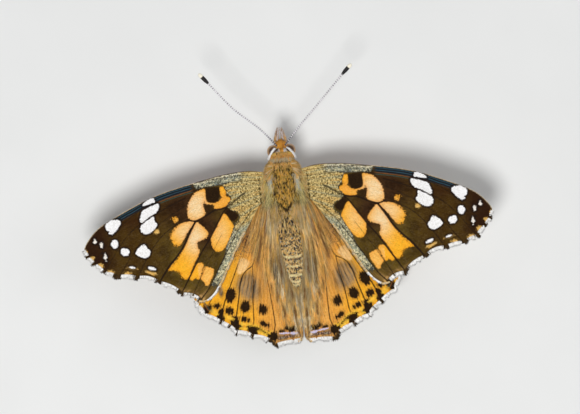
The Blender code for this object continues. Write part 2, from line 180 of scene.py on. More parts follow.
# Meshes
def makePiece(name, slot, points, faces, materials, replaced=(), faceMaterial=None, values={}, vectors={}, uv=None):
    # Points are in millimetres; faces are rows of three or four vertex numbers, given as a list of such arrays.
    points = np.asarray(points, float) + np.array([0.0, bodyForward, 0.0])
    mesh = bpy.data.meshes.new(name)
    sizes = np.concatenate([np.full(len(part), part.shape[1]) for part in faces])
    corners = np.concatenate([part.ravel() for part in faces]).astype(np.int32)
    mesh.vertices.add(len(points))
    mesh.vertices.foreach_set("co", (points * metresPerMm).astype(np.float32).ravel())
    mesh.loops.add(len(corners))
    mesh.loops.foreach_set("vertex_index", corners)
    mesh.polygons.add(len(sizes))
    mesh.polygons.foreach_set("loop_start", np.concatenate([[0], np.cumsum(sizes)[:-1]]).astype(np.int32))
    mesh.polygons.foreach_set("loop_total", sizes.astype(np.int32))
    if faceMaterial is not None:
        mesh.polygons.foreach_set("material_index", np.asarray(faceMaterial, np.int32))
    mesh.update(calc_edges=True)
    mesh.shade_smooth()
    for kind, field, layers in (("FLOAT", "value", values), ("FLOAT_VECTOR", "vector", vectors)):
        for key, value in layers.items():
            layer = mesh.attributes.new(key, kind, "POINT")
            layer.data.foreach_set(field, np.asarray(value, np.float32).ravel())
    if uv is not None:
        layer = mesh.uv_layers.new(name="OFBake")
        layer.uv.foreach_set("vector", np.asarray(uv, np.float32)[corners].ravel())
    for material in materials:
        mesh.materials.append(material)
    piece = bpy.data.objects.new(name, mesh)
    bpy.context.scene.collection.objects.link(piece)
    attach(piece, "root")
    if replaced:
        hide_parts(*replaced)


def gridFaces(rows, columns, wrap=False):
    # Four-cornered faces over a grid of points; with wrap the last column meets the first.
    i, j = np.meshgrid(np.arange(rows - 1), np.arange(columns if wrap else columns - 1), indexing="ij")
    n = (j + 1) % columns
    quads = np.stack([i * columns + j, i * columns + n, (i + 1) * columns + n, (i + 1) * columns + j], axis=-1)
    return quads.reshape(-1, 4)


def turnAngles(sides):
    # Even angles round one full turn.
    return fullTurn * np.arange(sides) / sides


def tubePoints(path, radii, sides):
    # Rings across a path: at each of its points, a circle of that place's radius in the plane across it.
    tangents = unit(np.gradient(path, axis=0))
    across = unit(np.cross(tangents, (0.0, 0.0, 1.0)))
    return ringsAcross(path, radii, sides, across, np.cross(across, tangents))


def ringsAcross(path, radii, sides, across, upright):
    # A ring's point is the path's point plus the radius times (cos·across + sin·upright).
    angle = turnAngles(sides)[None, :, None]
    ring = np.cos(angle) * across[:, None] + np.sin(angle) * upright[:, None]
    return path[:, None, :] + radii[:, None, None] * ring


def closedTube(name, slot, rings, material, replaced, values={}, vectors={}):
    # A tube over rings of points, closed by a point in the middle of each end ring.
    count, sides = rings.shape[:2]
    points = np.vstack([rings.reshape(-1, 3), rings[0].mean(0), rings[-1].mean(0)])
    k = np.arange(sides)
    n = (k + 1) % sides
    last = (count - 1) * sides
    fans = np.vstack([np.column_stack([np.full(sides, count * sides), k, n]),
                      np.column_stack([np.full(sides, count * sides + 1), last + n, last + k])])
    quads = gridFaces(count, sides, wrap=True)[:, ::-1]
    corner = points[quads] - points[0]
    if np.einsum("ij,ij->i", corner[:, 0], np.cross(corner[:, 1], corner[:, 2])).sum() < 0:
        quads, fans = quads[:, ::-1], fans[:, ::-1]  # it enclosed a negative volume
    spread = {key: np.concatenate([np.repeat(v, sides), [v[0], v[-1]]]) for key, v in values.items()}
    makePiece(name, slot, points, [quads, fans], [material], replaced, values=spread, vectors=vectors)


# Materials: a socket that takes part in sums, and one method that adds any node
class Sock:
    def __init__(self, shade, out):
        self.shade, self.out = shade, out

    def math(self, operation, other=None, flip=False):
        first, second = (other, self) if flip else (self, other)
        links = {0: first} if second is None else {0: first, 1: second}
        return self.shade.node("ShaderNodeMath", links, operation=operation)

    def __add__(self, other):
        return self.math("ADD", other)

    def __sub__(self, other):
        return self.math("SUBTRACT", other)

    def __rsub__(self, other):
        return self.math("SUBTRACT", other, flip=True)

    def __mul__(self, other):
        return self.math("MULTIPLY", other)

    __radd__, __rmul__ = __add__, __mul__

    def step(self, low, high):
        # 0 below low, 1 above high, smooth between
        return self.shade.node("ShaderNodeMapRange", {"Value": self, "From Min": low, "From Max": high},
                               interpolation_type="SMOOTHSTEP")

    def fall(self, low, high):
        return 1 - self.step(low, high)

    def near(self, middle, inner, outer):
        # 1 within the inner distance of the middle, 0 beyond the outer
        return (self - middle).math("ABSOLUTE").fall(inner, outer)

    def wave(self, length):
        return (self * (fullTurn / length)).math("SINE")


class Shade:
    def __init__(self, name, roughness=0.8, **sockets):
        self.material = bpy.data.materials.new(name)
        self.material.use_nodes = True
        self.tree = self.material.node_tree
        self.surface = self.tree.nodes["Principled BSDF"]
        for key, value in {"Roughness": roughness, **sockets}.items():
            self.surface.inputs[key.replace("_", " ")].default_value = value

    def node(self, kind, links={}, out=0, **settings):
        made = self.tree.nodes.new(kind)
        for key, value in settings.items():
            setattr(made, key, value)
        for key, value in links.items():
            if isinstance(value, Sock):
                self.tree.links.new(value.out, made.inputs[key])
            else:
                made.inputs[key].default_value = value
        return Sock(self, made.outputs[out])

    def value(self, name):
        return self.node("ShaderNodeAttribute", attribute_name=name, out="Fac")

    def vector(self, name):
        return self.node("ShaderNodeAttribute", attribute_name=name, out="Vector")

    def place(self, source=None, stretch=(1.0, 1.0, 1.0), turn=(0.0, 0.0, 0.0)):
        # A vector of the piece's own, or else Object coordinates in millimetres, turned and stretched
        scale = 1.0 if source else 1 / metresPerMm
        start = source or self.node("ShaderNodeTexCoord", out="Object")
        return self.node("ShaderNodeMapping", {"Vector": start, "Rotation": turn,
                                               "Scale": tuple(scale * k for k in stretch)})

    def axis(self, where, number):
        return self.node("ShaderNodeSeparateXYZ", {"Vector": where}, out=number)

    def scales(self, where):
        # One random value of three for each cell of a broken-up grid, as each scale of a wing has its own shade
        picked = self.node("ShaderNodeTexVoronoi", {"Vector": where, "Scale": 1.0}, out="Color")
        parts = self.node("ShaderNodeSeparateColor", {"Color": picked}).out.node
        return [Sock(self, parts.outputs[k]) for k in range(3)]

    def facets(self, where, scale=1.0):
        return self.node("ShaderNodeTexVoronoi", {"Vector": where, "Scale": scale}, out="Distance")

    def noise(self, where, scale, detail=3.0, roughness=0.55):
        return self.node("ShaderNodeTexNoise", {"Vector": where, "Scale": scale, "Detail": detail,
                                                "Roughness": roughness}, out="Fac")

    def mix(self, mask, under, over, blend="MIX"):
        links = {0: mask, 6: colour(under), 7: colour(over)}
        return self.node("ShaderNodeMix", links, out=2, data_type="RGBA", blend_type=blend)

    def layers(self, base, *coats):
        # Each coat goes over what is there, by its mask
        for mask, over in coats:
            base = self.mix(mask, base, over)
        return base

    def bump(self, height, distance, strength, below=None):
        links = {"Height": height, "Distance": distance * metresPerMm, "Strength": strength}
        return self.node("ShaderNodeBump", {**links, "Normal": below} if below else links)

    def finish(self, base, normal=None):
        self.tree.links.new(base.out, self.surface.inputs["Base Color"])
        if normal:
            self.tree.links.new(normal.out, self.surface.inputs["Normal"])
        return self.material


def colour(value):
    return value if isinstance(value, Sock) else (*value, 1.0)


# Wings. Outlines, veins and marks are seen from above: x outwards from the middle line, y to the head.
wingSheet = {
    "rootX": 3.0,
    "span": 29.0,         # from there to the tip
    "rootHeight": 8.15,
    "rise": 2.5,          # from root to tip
    "arch": 0.45,
    "crestY": -2.5,       # the sheet falls off to front and rear of it
    "fallOff": 0.0065,    # for each square millimetre of that distance
    "dip": 0.7,           # at the inner edge, fading over these two lengths
    "dipWidth": 1.6,
    "dipLength": 4.0,
    "membrane": 0.055,    # half the thickness between the veins
    "veinHeight": 0.07,
    "veinHalfWidth": 0.13,
    "sag": 0.1,           # the membrane's dip between two veins, full this far from them
    "sagReach": 0.7,
    "hindwingDrop": 1.25,
    "leftSweep": -4.5,
    "pivot": (2.5, 1),
    "fringe": 0.5,        # how far the membrane's edge stands in from the fringe's tips
    "bellyShare": 0.88,   # of the hind body's half width, where the hindwing's inner edge rests against it
    "middleGap": 0.14,    # from the middle line behind the body
}

forewing = {
    "hub": (-3, 3.6),
    "root": ((1, 1.6), (1, 4.6)),
    "grid": (260, 150),
    "leading": ((1, 4.6), (3, 5), (5.5, 5.4), (9, 5.2), (13, 4.5), (18, 3.45), (22, 2.15), (26, 0.4), (29, -1.2),
                (30.8, -3), (31.7, -4.6)),
    "ends": ((31.35, -5.7), (30.35, -6.85), (28.95, -8.35), (26.85, -9.2), (23.9, -9.6), (20.7, -10.65),
             (17.35, -12.85), (14.7, -13.95)),
    "scallops": (0.1, 0.12, 0.15, 0.18, 0.22, 0.38, 0.34, 0.35),
    "trailing": ((14.7, -13.95), (13.6, -14), (12.4, -13.2), (11.35, -11.9), (10.15, -9.9), (8.6, -7.15), (7.1, -4.6),
                 (5.6, -2.4), (4.2, -0.3), (2.6, 1.2), (1, 1.6)),
    # Each vein: its path, and the half width of its dark line at its start and end
    "veins": (
        (((3.2, 4.6), (8, 4.75), (13.8, 4.33)), 0.03, 0.05),
        (((11.8, 3.55), (15, 3.55), (18.6, 3.28)), 0.04, 0.05),
        (((15.2, 2.85), (18.5, 2.8), (22.6, 1.93)), 0.05, 0.05),
        (((3.2, 3.8), (8, 3.85), (12, 3.5), (15.2, 2.85), (19.8, 1.75), (22.4, 1.3)), 0.03, 0.07),
        (((22.2, 1.1), (25, -0.8), (27.4, -3.1), (30.35, -6.85)), 0.04, 0.05),
        (((22.2, 1.1), (25.2, 0.2), (27.8, -0.5)), 0.04, 0.03),
        (((25.9, -1.6), (28.9, -3.5), (31.35, -5.7)), 0.03, 0.03),
        (((15.2, 2.2), (17.5, 1.3), (20.4, 0), (22.4, -1.05), (24.6, -2.7), (26.4, -4.8), (28.95, -8.35)),
         0.06, 0.05),
        (((15.5, 0.9), (17.6, -0.2), (20, -1.7), (21.6, -2.8), (24, -5.4), (25.4, -7.3), (26.85, -9.2)), 0.04, 0.05),
        (((15.3, -1.2), (17.6, -2.1), (19.5, -3.4), (21.2, -5.3), (22.3, -6.9), (23.9, -9.6)), 0.04, 0.06),
        (((6.2, 2), (6.9, 1.6), (7.6, 1.1), (8.4, 0.6), (9.1, 0.2), (10, -0.04), (11, -0.16), (12.3, -0.78),
          (13.2, -1.2), (14.2, -1.5), (15.3, -1.2)),
         0.14, 0.1),
        (((14, -1.5), (15.2, -3.3), (16, -4.8), (17.2, -6.4), (18.9, -8.2), (20.7, -10.65)), 0.13, 0.13),
        (((8.8, 0.4), (10, -1), (12, -4.2), (13.7, -6.5), (15, -8.7), (16, -10.3), (17.5, -12.7)), 0.09, 0.1),
        (((10.2, -3.8), (11.7, -6.2), (13.1, -8.5), (14.3, -10.5), (15.6, -12.9)), 0.02, 0.06),
        (((5.4, -0.8), (7.6, -3.4), (8.6, -4.9), (9.6, -6.5), (10.4, -7.75), (11.1, -8.9), (12.2, -10.7),
          (13, -11.95), (14.5, -13.7)),
         0.05, 0.09),
    ),
    "orange": (
        ((9.05, 3.3), (9.9, 3.3), (9.95, 2.3), (9.75, 1.75), (10.1, 1.3), (10.7, 1.05), (11.5, 1.1), (12.1, 1.5),
         (12.1, 3.1), (12.35, 3.1), (12.4, 1.2), (11.8, 0.85), (11.05, 0.7), (10.95, 0.1), (10.2, -0.02),
         (9.3, 0.2), (8.5, 0.9), (8.4, 1.5), (9.1, 1.9), (8.85, 2.6)),
        ((12.15, 3.2), (13.3, 3.05), (14.2, 2.4), (14.95, 1.2), (15.2, 0), (15.05, -1), (14.6, -1.35),
         (13.9, -1.38), (12.9, -1.05), (12.4, -0.5), (12.65, 0.3), (12.6, 1.1), (12.2, 1.7)),
        (17.15, -0.95, 0.5, 0.36, 25),
        ((14.35, -1.62), (15.2, -1.45), (16.2, -1.6), (17, -2), (17.7, -2.7), (18.1, -3.5), (18, -4.3),
         (17.4, -4.95), (16.85, -4.95), (16.3, -4.45), (15.5, -3.15)),
        ((14, -1.68), (13.2, -2.3), (12.6, -3), (12.3, -3.6), (12.7, -4.25), (13.6, -4.55), (14.15, -4.9),
         (14.1, -5.6), (13.9, -6.1), (14.2, -6.9), (15.1, -8.4), (15.9, -9.9), (16.4, -10.3), (17, -9.9),
         (17.3, -9.1), (17.9, -8.8), (18.7, -8.65), (18.75, -8.35), (17.4, -7), (16.2, -5.4), (15.1, -3.5)),
        ((12, -9.3), (12.65, -8.8), (13.35, -8.6), (13.75, -9.4), (14.15, -10.35), (13.65, -11.15), (13.4, -11.7),
         (13.05, -11.5), (12.5, -10.6)),
        ((13.5, -8.2), (13.9, -7.95), (14.6, -8.1), (15.2, -9.1), (15.85, -10.2), (15.45, -10.55), (14.95, -10.2),
         (14.5, -10.55), (14.15, -10.05), (13.8, -9.2)),
        ((9.5, -0.8), (9.95, -1.1), (10.9, -2.7), (11.85, -3.9), (12, -4.7), (11.9, -5.6), (11.6, -6.3), (11, -6.6),
         (10.5, -6.45), (9.95, -6), (9.3, -5.1), (8.8, -4.1), (8.2, -3.1), (8.6, -2.2), (9, -1.4)),
    ),
    "white": (
        ((20.25, 2.62), (20.9, 2.5), (21.6, 2.1), (22, 1.6), (21.4, 1.62), (20.6, 1.88), (19.95, 2.05)),
        ((19.5, 1.7), (19.5, 1), (20, 0.35), (20.7, 0), (21.5, -0.45), (22.3, -0.95), (22.5, -0.5), (22.3, 0.2),
         (22.1, 0.75), (21.4, 1.15), (20.4, 1.5)),
        ((20.4, -0.15), (20.3, -0.9), (19.95, -1.5), (20.4, -2.05), (21.2, -2.65), (21.9, -2.75), (22.4, -2.4),
         (22.6, -1.8), (22.2, -1.2), (21.2, -0.6)),
        ((25.6, -0.25), (26.5, -0.1), (27.3, -0.25), (27.85, -0.8), (27.8, -1.35), (27.4, -1.8), (27.15, -2.4),
         (26.7, -2.15), (26.1, -1.6), (25.65, -1)),
        (26.7, -3.8, 0.52, 0.68),
        ((24.75, -4.85), (25.3, -4.6), (25.8, -4.7), (25.9, -5.15), (25.7, -5.55), (25.2, -5.8), (24.75, -5.6),
         (24.6, -5.2)),
        ((22, -4.5), (22.35, -4.35), (22.8, -4.5), (23.3, -4.95), (23.7, -5.5), (23.2, -6), (22.5, -6.35),
         (21.9, -6.3), (21.45, -5.8), (21.45, -5.3), (21.8, -5)),
        (29.7, -3, 0.26, 0.32), (28.75, -3.8, 0.23, 0.38), (28.35, -5.6, 0.26, 0.62), (21.4, -8.1, 0.62, 0.24, 20),
        (24.4, -7.65, 0.5, 0.16, 15),
    ),
    "buff": ((31.2, -4.7, 0.25, 0.35), (30.35, -5.7, 0.3, 0.35, 40), (29.15, -6.85, 0.4, 0.32, 40),
             (27.7, -8.05, 0.55, 0.28, 25), (25.2, -8.5, 0.6, 0.25, 5), (24.4, -7.75, 0.85, 0.22, 15),
             (21.6, -8.75, 0.9, 0.25, 20), (20.2, -2.5, 0.4, 0.4)),
    "black": (
        ((10.05, 3.35), (11, 3.4), (12, 3.35), (12.1, 2.3), (12.05, 1.6), (11.6, 1.12), (10.8, 1.12), (10.15, 1.5),
         (9.95, 2.4)),
        ((9.15, 0.1), (8.7, -0.2), (8.1, -0.6), (7.6, -0.9), (7.5, -1.35), (7.75, -1.9), (8.3, -2.15), (8.8, -1.75),
         (9.1, -1.1), (9.5, -0.7)),
        (17.3, -0.9, 0.16, 0.1),
    ),
    # The dusted areas: the base, the strip along the inner margin and the one along the front edge
    "basal": (
        ((0.5, 4.6), (5, 4.6), (9, 4.1), (9.3, 3.5), (9, 2.9), (8.85, 2.2), (8.4, 1.8), (8.4, 1.2), (8.85, 0.5),
         (9.05, 0.15), (8.6, -0.25), (8, -0.6), (7.4, -0.9), (7.3, -1.5), (7.6, -2.1), (8.1, -2.5), (8.3, -3.1),
         (7.8, -3.6), (6, -1.2), (3.5, 1), (0.5, 1.6)),
    ),
    "hem": (
        ((3, 1.4), (5.9, -0.5), (7.6, -2.2), (8.3, -3), (8.75, -4), (9.3, -5), (9.8, -5.9), (10.1, -7.1),
         (11.1, -8.8), (12.15, -10.6), (12.8, -11.5), (12.4, -11.9), (11.6, -12.2), (9.4, -10.2), (6.2, -4.9),
         (3.4, -0.4), (2, 1.4)),
    ),
    "costal": (
        ((0.5, 5.6), (5, 6.2), (9, 6), (13.7, 5), (13.9, 4.25), (13.5, 3.4), (11.8, 3.5), (9.6, 3.65), (8, 3.95),
         (5, 4.1), (0.5, 3.8)),
    ),
    "whiteFringe": ((31.8, -4.5, 31.4, -5.2), (31, -5.6, 30.5, -6.3), (30.1, -6.9, 29.3, -7.9),
                    (28.5, -8.1, 27.5, -8.7), (26.3, -9, 24.3, -9.1), (23.4, -9.3, 21.2, -9.9),
                    (20.2, -10.6, 18.2, -12.2), (17, -12.8, 15, -13.6), (13.4, -14, 11.2, -12.2)),
}

hindwing = {
    "hub": (1.8, 6),
    "root": ((0.5, -0.6), (0.8, 1)),
    "grid": (220, 160),
    "leading": ((0.8, 1), (3, 1.4), (6, 0.6), (9.6, -1.9), (13.2, -6), (15.9, -10.2), (16.85, -13)),
    "ends": ((16.35, -13.9), (15.7, -15.35), (13.35, -16.95), (11.3, -18.95), (8.85, -20.05), (5.75, -22.15),
             (1.75, -22.05)),
    "scallops": (0.03, 0.06, 0.12, 0.18, 0.24, 0.45, 0.12),
    "trailing": ((1.75, -22.05), (1.2, -21.3), (0.95, -20.3), (0.7, -18), (0.5, -13.5), (0.3, -8), (0.3, -3),
                 (0.5, -0.6)),
    "veins": (
        (((3, 0.5), (7.2, -0.9), (12, -5.6), (15.3, -10.6), (16.85, -13)), 0.04, 0.05),
        (((5.6, -1.3), (10.4, -5.8), (14.2, -11), (16.35, -13.9)), 0.04, 0.06),
        (((3, -0.3), (5.6, -1.3), (9.9, -6.9), (13, -11.4), (15.7, -15.35)), 0.03, 0.06),
        (((6.4, -3.6), (9, -8.3), (11.6, -12.8), (12.7, -15.1), (13.35, -16.95)), 0.03, 0.11),
        (((2.9, -1.1), (4.6, -4), (6, -7), (6.8, -8.8), (8.2, -9.7), (9.1, -11.1), (10, -14), (10.9, -16.9),
          (11.3, -18.95)),
         0.02, 0.11),
        (((6.9, -8.9), (7.2, -11.5), (7.8, -14.5), (8.2, -17.4), (8.85, -20.05)), 0.05, 0.09),
        (((4.6, -4), (4.95, -9), (5, -17.8), (5.3, -19.4), (5.75, -22.15)), 0.02, 0.09),
        (((2.9, -2.6), (3.2, -8), (2.8, -15), (2.7, -21.6)), 0, 0.02),
    ),
    "palePatch": (((7.2, -8.3), (8, -7.55), (8.7, -7.7), (9.3, -9.2), (9.2, -9.85), (8.4, -9.7), (7.7, -9.1)),),
    "black": (
        (10.95, -12.9, 0.68, 1, 15), (9.15, -15, 0.64, 0.86, 10), (6.5, -15.95, 0.55, 0.68, -5),
        (11.7, -15.2, 0.54, 0.5, 0), (9.5, -16.95, 0.58, 0.36, 20), (6.7, -18.2, 0.72, 0.3, 35),
        ((14.3, -14), (15, -13.75), (15.7, -14.3), (15.85, -15.2), (15.3, -15.1), (14.6, -14.85)),
        ((12.75, -14.9), (13.25, -15.1), (13.6, -16), (13.75, -16.9), (13.1, -16.8), (12.55, -16)),
        ((10.75, -16.5), (11.6, -16.5), (11.7, -17.2), (11.35, -18), (11.6, -18.7), (11, -18.75), (10.2, -18.2),
         (10.1, -17.8), (10.7, -17.3)),
        ((7.2, -19.05), (7.8, -18.4), (8.6, -18.15), (9.4, -18.1), (9.3, -18.8), (9.1, -19.3), (8.4, -19.6),
         (7.9, -19.3)),
        ((5.2, -19.9), (5.9, -19.8), (6.4, -19.9), (6.5, -20.3), (6.1, -20.9), (5.4, -21), (5.05, -20.6)),
        ((5.6, -19.85), (6.4, -19.6), (7.2, -19.05), (7.9, -18.7), (8, -19), (7.35, -19.45), (6.5, -20.05),
         (5.6, -20.25)),
        (13.35, -14.12, 0.5, 0.26, 0), (2.5, -19.8, 0.75, 0.34, 0), (3.3, -19.5, 0.3, 0.3, 8),
        (4.3, -19.8, 0.35, 0.14, 8),
    ),
    "white": ((2.4, -20.5, 0.6, 0.2, 10), (3.9, -20.22, 0.85, 0.14, 8)),
    "buff": (
        ((5.6, -19.4), (6.3, -19.5), (7.4, -18.6), (8.1, -17.95), (9.4, -17.65), (10.2, -17.3), (10.2, -17.75),
         (9.5, -17.95), (8.1, -18.3), (7.3, -18.95), (6.3, -19.85)),
        (11.9, -16.2, 0.9, 0.25, 35), (7.25, -19.65, 0.9, 0.3, 42), (10, -18.35, 0.7, 0.22, 12),
        (14, -15, 0.7, 0.3, 35), (15.9, -13.8, 0.25, 0.4, 0),
    ),
    "whiteFringe": ((16.9, -13.1, 15.4, -15.5), (15.2, -15.6, 13.7, -16.6), (13, -16.95, 12.4, -17.4),
                    (11.9, -17.9, 11.4, -18.7), (10.9, -18.9, 9.2, -19.5), (8.5, -19.8, 6.8, -21.1),
                    (5, -22, 1.7, -22)),
}


def swept(points, degrees):
    # Turned about the hinge by the angle; a negative one draws the wing in.
    c, s = math.cos(math.radians(degrees)), math.sin(math.radians(degrees))
    x, y = (points[..., k] - wingSheet["pivot"][k] for k in (0, 1))
    return np.stack([wingSheet["pivot"][0] + x * c - y * s, wingSheet["pivot"][1] + x * s + y * c], axis=-1)


def outerMargin(wing, inset=0.0):
    # From vein end to vein end along the chord, drawn in by the scallop's depth times a half sine, and then
    # by the inset, which leaves room for the fringe.
    corners = [wing["leading"][-1], *wing["ends"]]
    stretches = []
    for start, end, depth in zip(corners, corners[1:], wing["scallops"]):
        chord = np.subtract(end, start)
        length = np.linalg.norm(chord)
        t = np.linspace(0, 1, max(4, int(length / 0.12)), endpoint=False)[:, None]
        inward = np.array([chord[1], -chord[0]]) / length
        stretches.append(start + chord * t + inward * depth * np.sin(math.pi * t))
    line = np.vstack([*stretches, [corners[-1]]])
    wide = runningMean(np.gradient(line, axis=0), 9)
    outward = np.column_stack([-wide[:, 1], wide[:, 0]]) / np.linalg.norm(wide, axis=1)[:, None]
    return line - inset * outward, outward


def wingPlan(wing):
    # A patch between four edges: the inner and leading edges blended by v, plus the root and outer margin
    # blended by u, less the blend of the four corners.
    rows, columns = wing["grid"]
    margin, _ = outerMargin(wing, wingSheet["fringe"] * 0.85)
    lead = evenly(np.vstack([smoothCurve(wing["leading"], step=0.2)[:-3], margin[0]]), rows)
    trail = evenly(np.vstack([smoothCurve(wing["trailing"], step=0.2)[::-1][:-3], margin[-1]]), rows)
    outer = evenly(margin[::-1], columns)
    root = np.linspace(*wing["root"], columns)
    u, v = np.linspace(0, 1, rows)[:, None, None], np.linspace(0, 1, columns)[None, :, None]
    corners = (1 - u) * (1 - v) * root[0] + (1 - u) * v * root[-1] + u * (1 - v) * outer[0] + u * v * outer[-1]
    return (1 - v) * trail[:, None] + v * lead[:, None] + (1 - u) * root[None] + u * outer[None] - corners


def sheetHeight(x, y):
    # Rises from root to tip with a half-sine arch, falls off to front and rear as a parabola, and dips at the
    # inner edge near the body.
    sheet = wingSheet
    span = np.clip((x - sheet["rootX"]) / sheet["span"], -0.1, 1.0)
    inner = np.exp(-np.maximum(x, 0.0) / sheet["dipWidth"]) * np.clip(-y / sheet["dipLength"], 0.0, 1.0)
    return (sheet["rootHeight"] + sheet["rise"] * span + sheet["arch"] * np.sin(math.pi * span)
            - sheet["fallOff"] * (y - sheet["crestY"]) ** 2 - sheet["dip"] * inner)


def rayAcross(wing, x, y):
    # Place on the fan of rays from the wing's hub: arc length at a middling radius, and the distance out.
    out, rear = x - wing["hub"][0], wing["hub"][1] - y
    angle = np.arctan2(rear, out) if wing is forewing else np.arctan2(out, rear)
    return np.column_stack([angle * 12.0, np.hypot(out, rear), np.zeros(len(x))])


# The hind body's half width at places along it
abdomenRows = ((-1.2, 1.45), (-2.2, 1.4), (-4.4, 1.65), (-7.2, 1.65), (-10.0, 1.32), (-12.2, 0.82), (-13.15, 0.3))


def clearOfBelly(ground, side):
    # The hindwing's inner edge rests against the hind body's side.
    x, y = ground.T
    rows = np.array(abdomenRows)[::-1]
    half = np.interp(y, rows[:, 0], rows[:, 1], left=0.0, right=0.0)
    beside = (y < -1.2) & (y > -13.2)
    inner = side * middleLine(y) + np.where(beside, wingSheet["bellyShare"] * half, wingSheet["middleGap"])
    return np.column_stack([np.maximum(x, inner), y])


def marksOf(plan, wing, *names):
    # The depth of each spot in each named kind of mark.
    return {name: markDepth(plan, wing[name]) for name in names}


def forewingUpper(x, y, plan):
    # The upper face's marks as depths and its soft tints as shares.
    wing = forewing
    edge = pathDistance(plan, smoothCurve(wing["leading"], step=0.5))
    border = pathDistance(plan, outerMargin(wing)[0][::3])
    basal = ramp(markDepth(plan, wing["basal"]), -0.25, 0.25)
    costal = ramp(markDepth(plan, wing["costal"]), -0.15, 0.2)
    hem = ramp(markDepth(plan, wing["hem"]), -0.2, 0.3) * (1 - 0.75 * ramp(-y, 10.4, 12.2))
    lane = costal * ramp(x, 5.8, 7.6)
    frontHem = 1 - ramp(-y, 2.0, 4.5)
    return {
        **marksOf(plan, wing, "orange", "black", "white", "buff"),
        "lines": lineDepth(plan, wing["veins"]),
        "rim": edge,
        **shares(
            tone=1.1 * blob(x, y, 14.3, -4.2, 2.6, 5.5) + 1.15 * blob(x, y, 13.8, 0.9, 4.5, 4.5)
            + 0.45 * blob(x, y, 10.4, -3.4, 2, 5) + 0.5 * blob(x, y, 16.4, -2.8, 2, 2)
            + 0.25 * ramp(-y, 7.5, 9.0) * (x < 14.4),
            russet=0.75 * blob(x, y, 9.6, 1.2, 1.6, 1.6),
            smoke=0.3 * ramp(-y, 11.0, 12.8) * (1 - ramp(x, 14.5, 18.0))
            + 0.55 * bell(border, 0.85, 0.22) * ramp(-y, 10.5, 12.5),
            dust=np.maximum.reduce([basal * 0.75, costal * 0.75, hem * (0.75 + 0.07 * ramp(-y, 4.0, 8.0))])
            - 0.35 * bell(x, 3.75, 0.2) * ramp(y, -0.5, 0.5) * (y < 4.3)
            + 0.25 * bell(x, 4.4, 1.3) * ramp(y, 3.9, 4.4),
            gold=np.maximum(basal, hem * frontHem) * (1 - 0.8 * hem * (1 - frontHem)) * (1 - costal)
            + costal * (1 - ramp(x, 5.6, 7.4)),
            laneLight=lane * bell(edge, 0.32, 0.15),
            laneDark=lane * np.maximum(0.45 * bell(edge, 0.72, 0.2), bell(edge, 1.5, 0.28) * ramp(x, 7.5, 9.0)),
            warmth=np.minimum(blob(x, y, 15.5, 1, 30, 14) + 0.85 * blob(x, y, 12.8, -3.8, 8, 8)
                              + 0.7 * blob(x, y, 24, -0.7, 7, 1.5), 0.88),
            # The dark strip along the front edge, which the material covers with painted sheen.
            gloss=(1 - ramp(edge, 0.85, 1.05)) * ramp(x, 13.8, 14.6) * (1 - ramp(x, 25.5, 27.5))),
    }


def hindwingUpper(x, y, plan):
    # The same for the hindwing: hair's shade, haze and dust over an orange ground, held off the bare pale patch.
    wing = hindwing
    rearward = np.maximum(-8 - y, 0)
    hairy = 1 - ramp(x, 3.0 - 0.06 * rearward, 6.8 - 0.15 * rearward)
    inmost = 1 - ramp(x, 1.4, 3.0)
    grey = blob(x, y, 8.1, -11.9, 2.6, 3.8) + 0.9 * blob(x, y, 12.4, -12, 0.12, 0.6)
    bare = 1 - ramp(markDepth(plan, wing["palePatch"]), -0.25, 0.2)
    front = ramp(y, -9.5, -5.0)
    marks = marksOf(plan, wing, "black", "white", "buff")
    marks["black"] += 0.06
    return {
        **marks,
        "orange": np.ones(len(plan)),
        "lines": lineDepth(plan, wing["veins"]),
        "rim": pathDistance(plan, outerMargin(wing)[0][::3]),
        "warmth": np.ones(len(plan)),
        "russet": np.minimum(0.75 * (1 - ramp(x, 5.5, 10.0)) + 0.3 * front, 1) * bare,
        **shares(
            tone=0.65 * (1 - bare),
            smoke=(0.75 * hairy + 0.35 * inmost + 0.5 * grey + 0.5 * front + 0.3 * (1 - ramp(x, 5.5, 8.0))) * bare
            + 0.5 * ramp(-y, 19.7, 20.6) * (1 - ramp(x, 5.4, 6.4)) - 0.7 * blob(x, y, 3.6, -20.75, 1.2, 0.12),
            dust=0.2 * inmost + 0.24 * front * ramp(x, 4.5, 5.5) * bare
            + 0.45 * np.exp(-((x - 3.5) ** 2) / 0.12) * ramp(y, -13.0, -8.0)
            + 0.5 * bell(y, -20.85, 0.28) * ramp(x, 1.4, 1.8) * (1 - ramp(x, 4.8, 5.2)),
            haze=1.8 * grey * bare + 0.35 * blob(x, y, 7.2, -13.3, 1.6, 2) + 0.9 * blob(x, y, 4.9, -20.6, 0.9, 0.5)),
    }


def forewingUnder(x, y, plan):
    # Paler than above: rosy orange over the inner half, the same white marks, and an olive-buff tip.
    wing = forewing
    edge = pathDistance(plan, smoothCurve(wing["leading"], step=0.5))
    inner = pathDistance(plan, smoothCurve(wing["trailing"], step=0.5))
    rings = ((26.7, -3.8), (25.25, -5.15), (22.5, -5.3), (28.35, -5.6))
    marks = marksOf(plan, wing, "orange", "black", "white")
    return {
        "orange": np.maximum(marks["orange"] + 0.22, (8.9 - x) * 0.6),
        "black": marks["black"] - 0.25,
        "white": marks["white"] + 0.03,
        "lines": lineDepth(plan, wing["veins"]) - 0.02,
        "eyespot": np.min([np.hypot(x - a, y - b) / 0.75 for a, b in rings], axis=0),
        "rim": edge,
        **shares(tone=0.25 + blob(x, y, 14, -2, 20, 20),
                 marble=ramp(x - 0.25 * y, 22.5, 25.5) + ramp(-y, 8.0, 10.5) * ramp(x, 15.0, 19.0)
                 + 1 - ramp(edge, 0.8, 1.4),
                 pale=(1 - ramp(inner, 1.2, 2.6)) * ramp(-y, -1.0, 2.0)),
    }


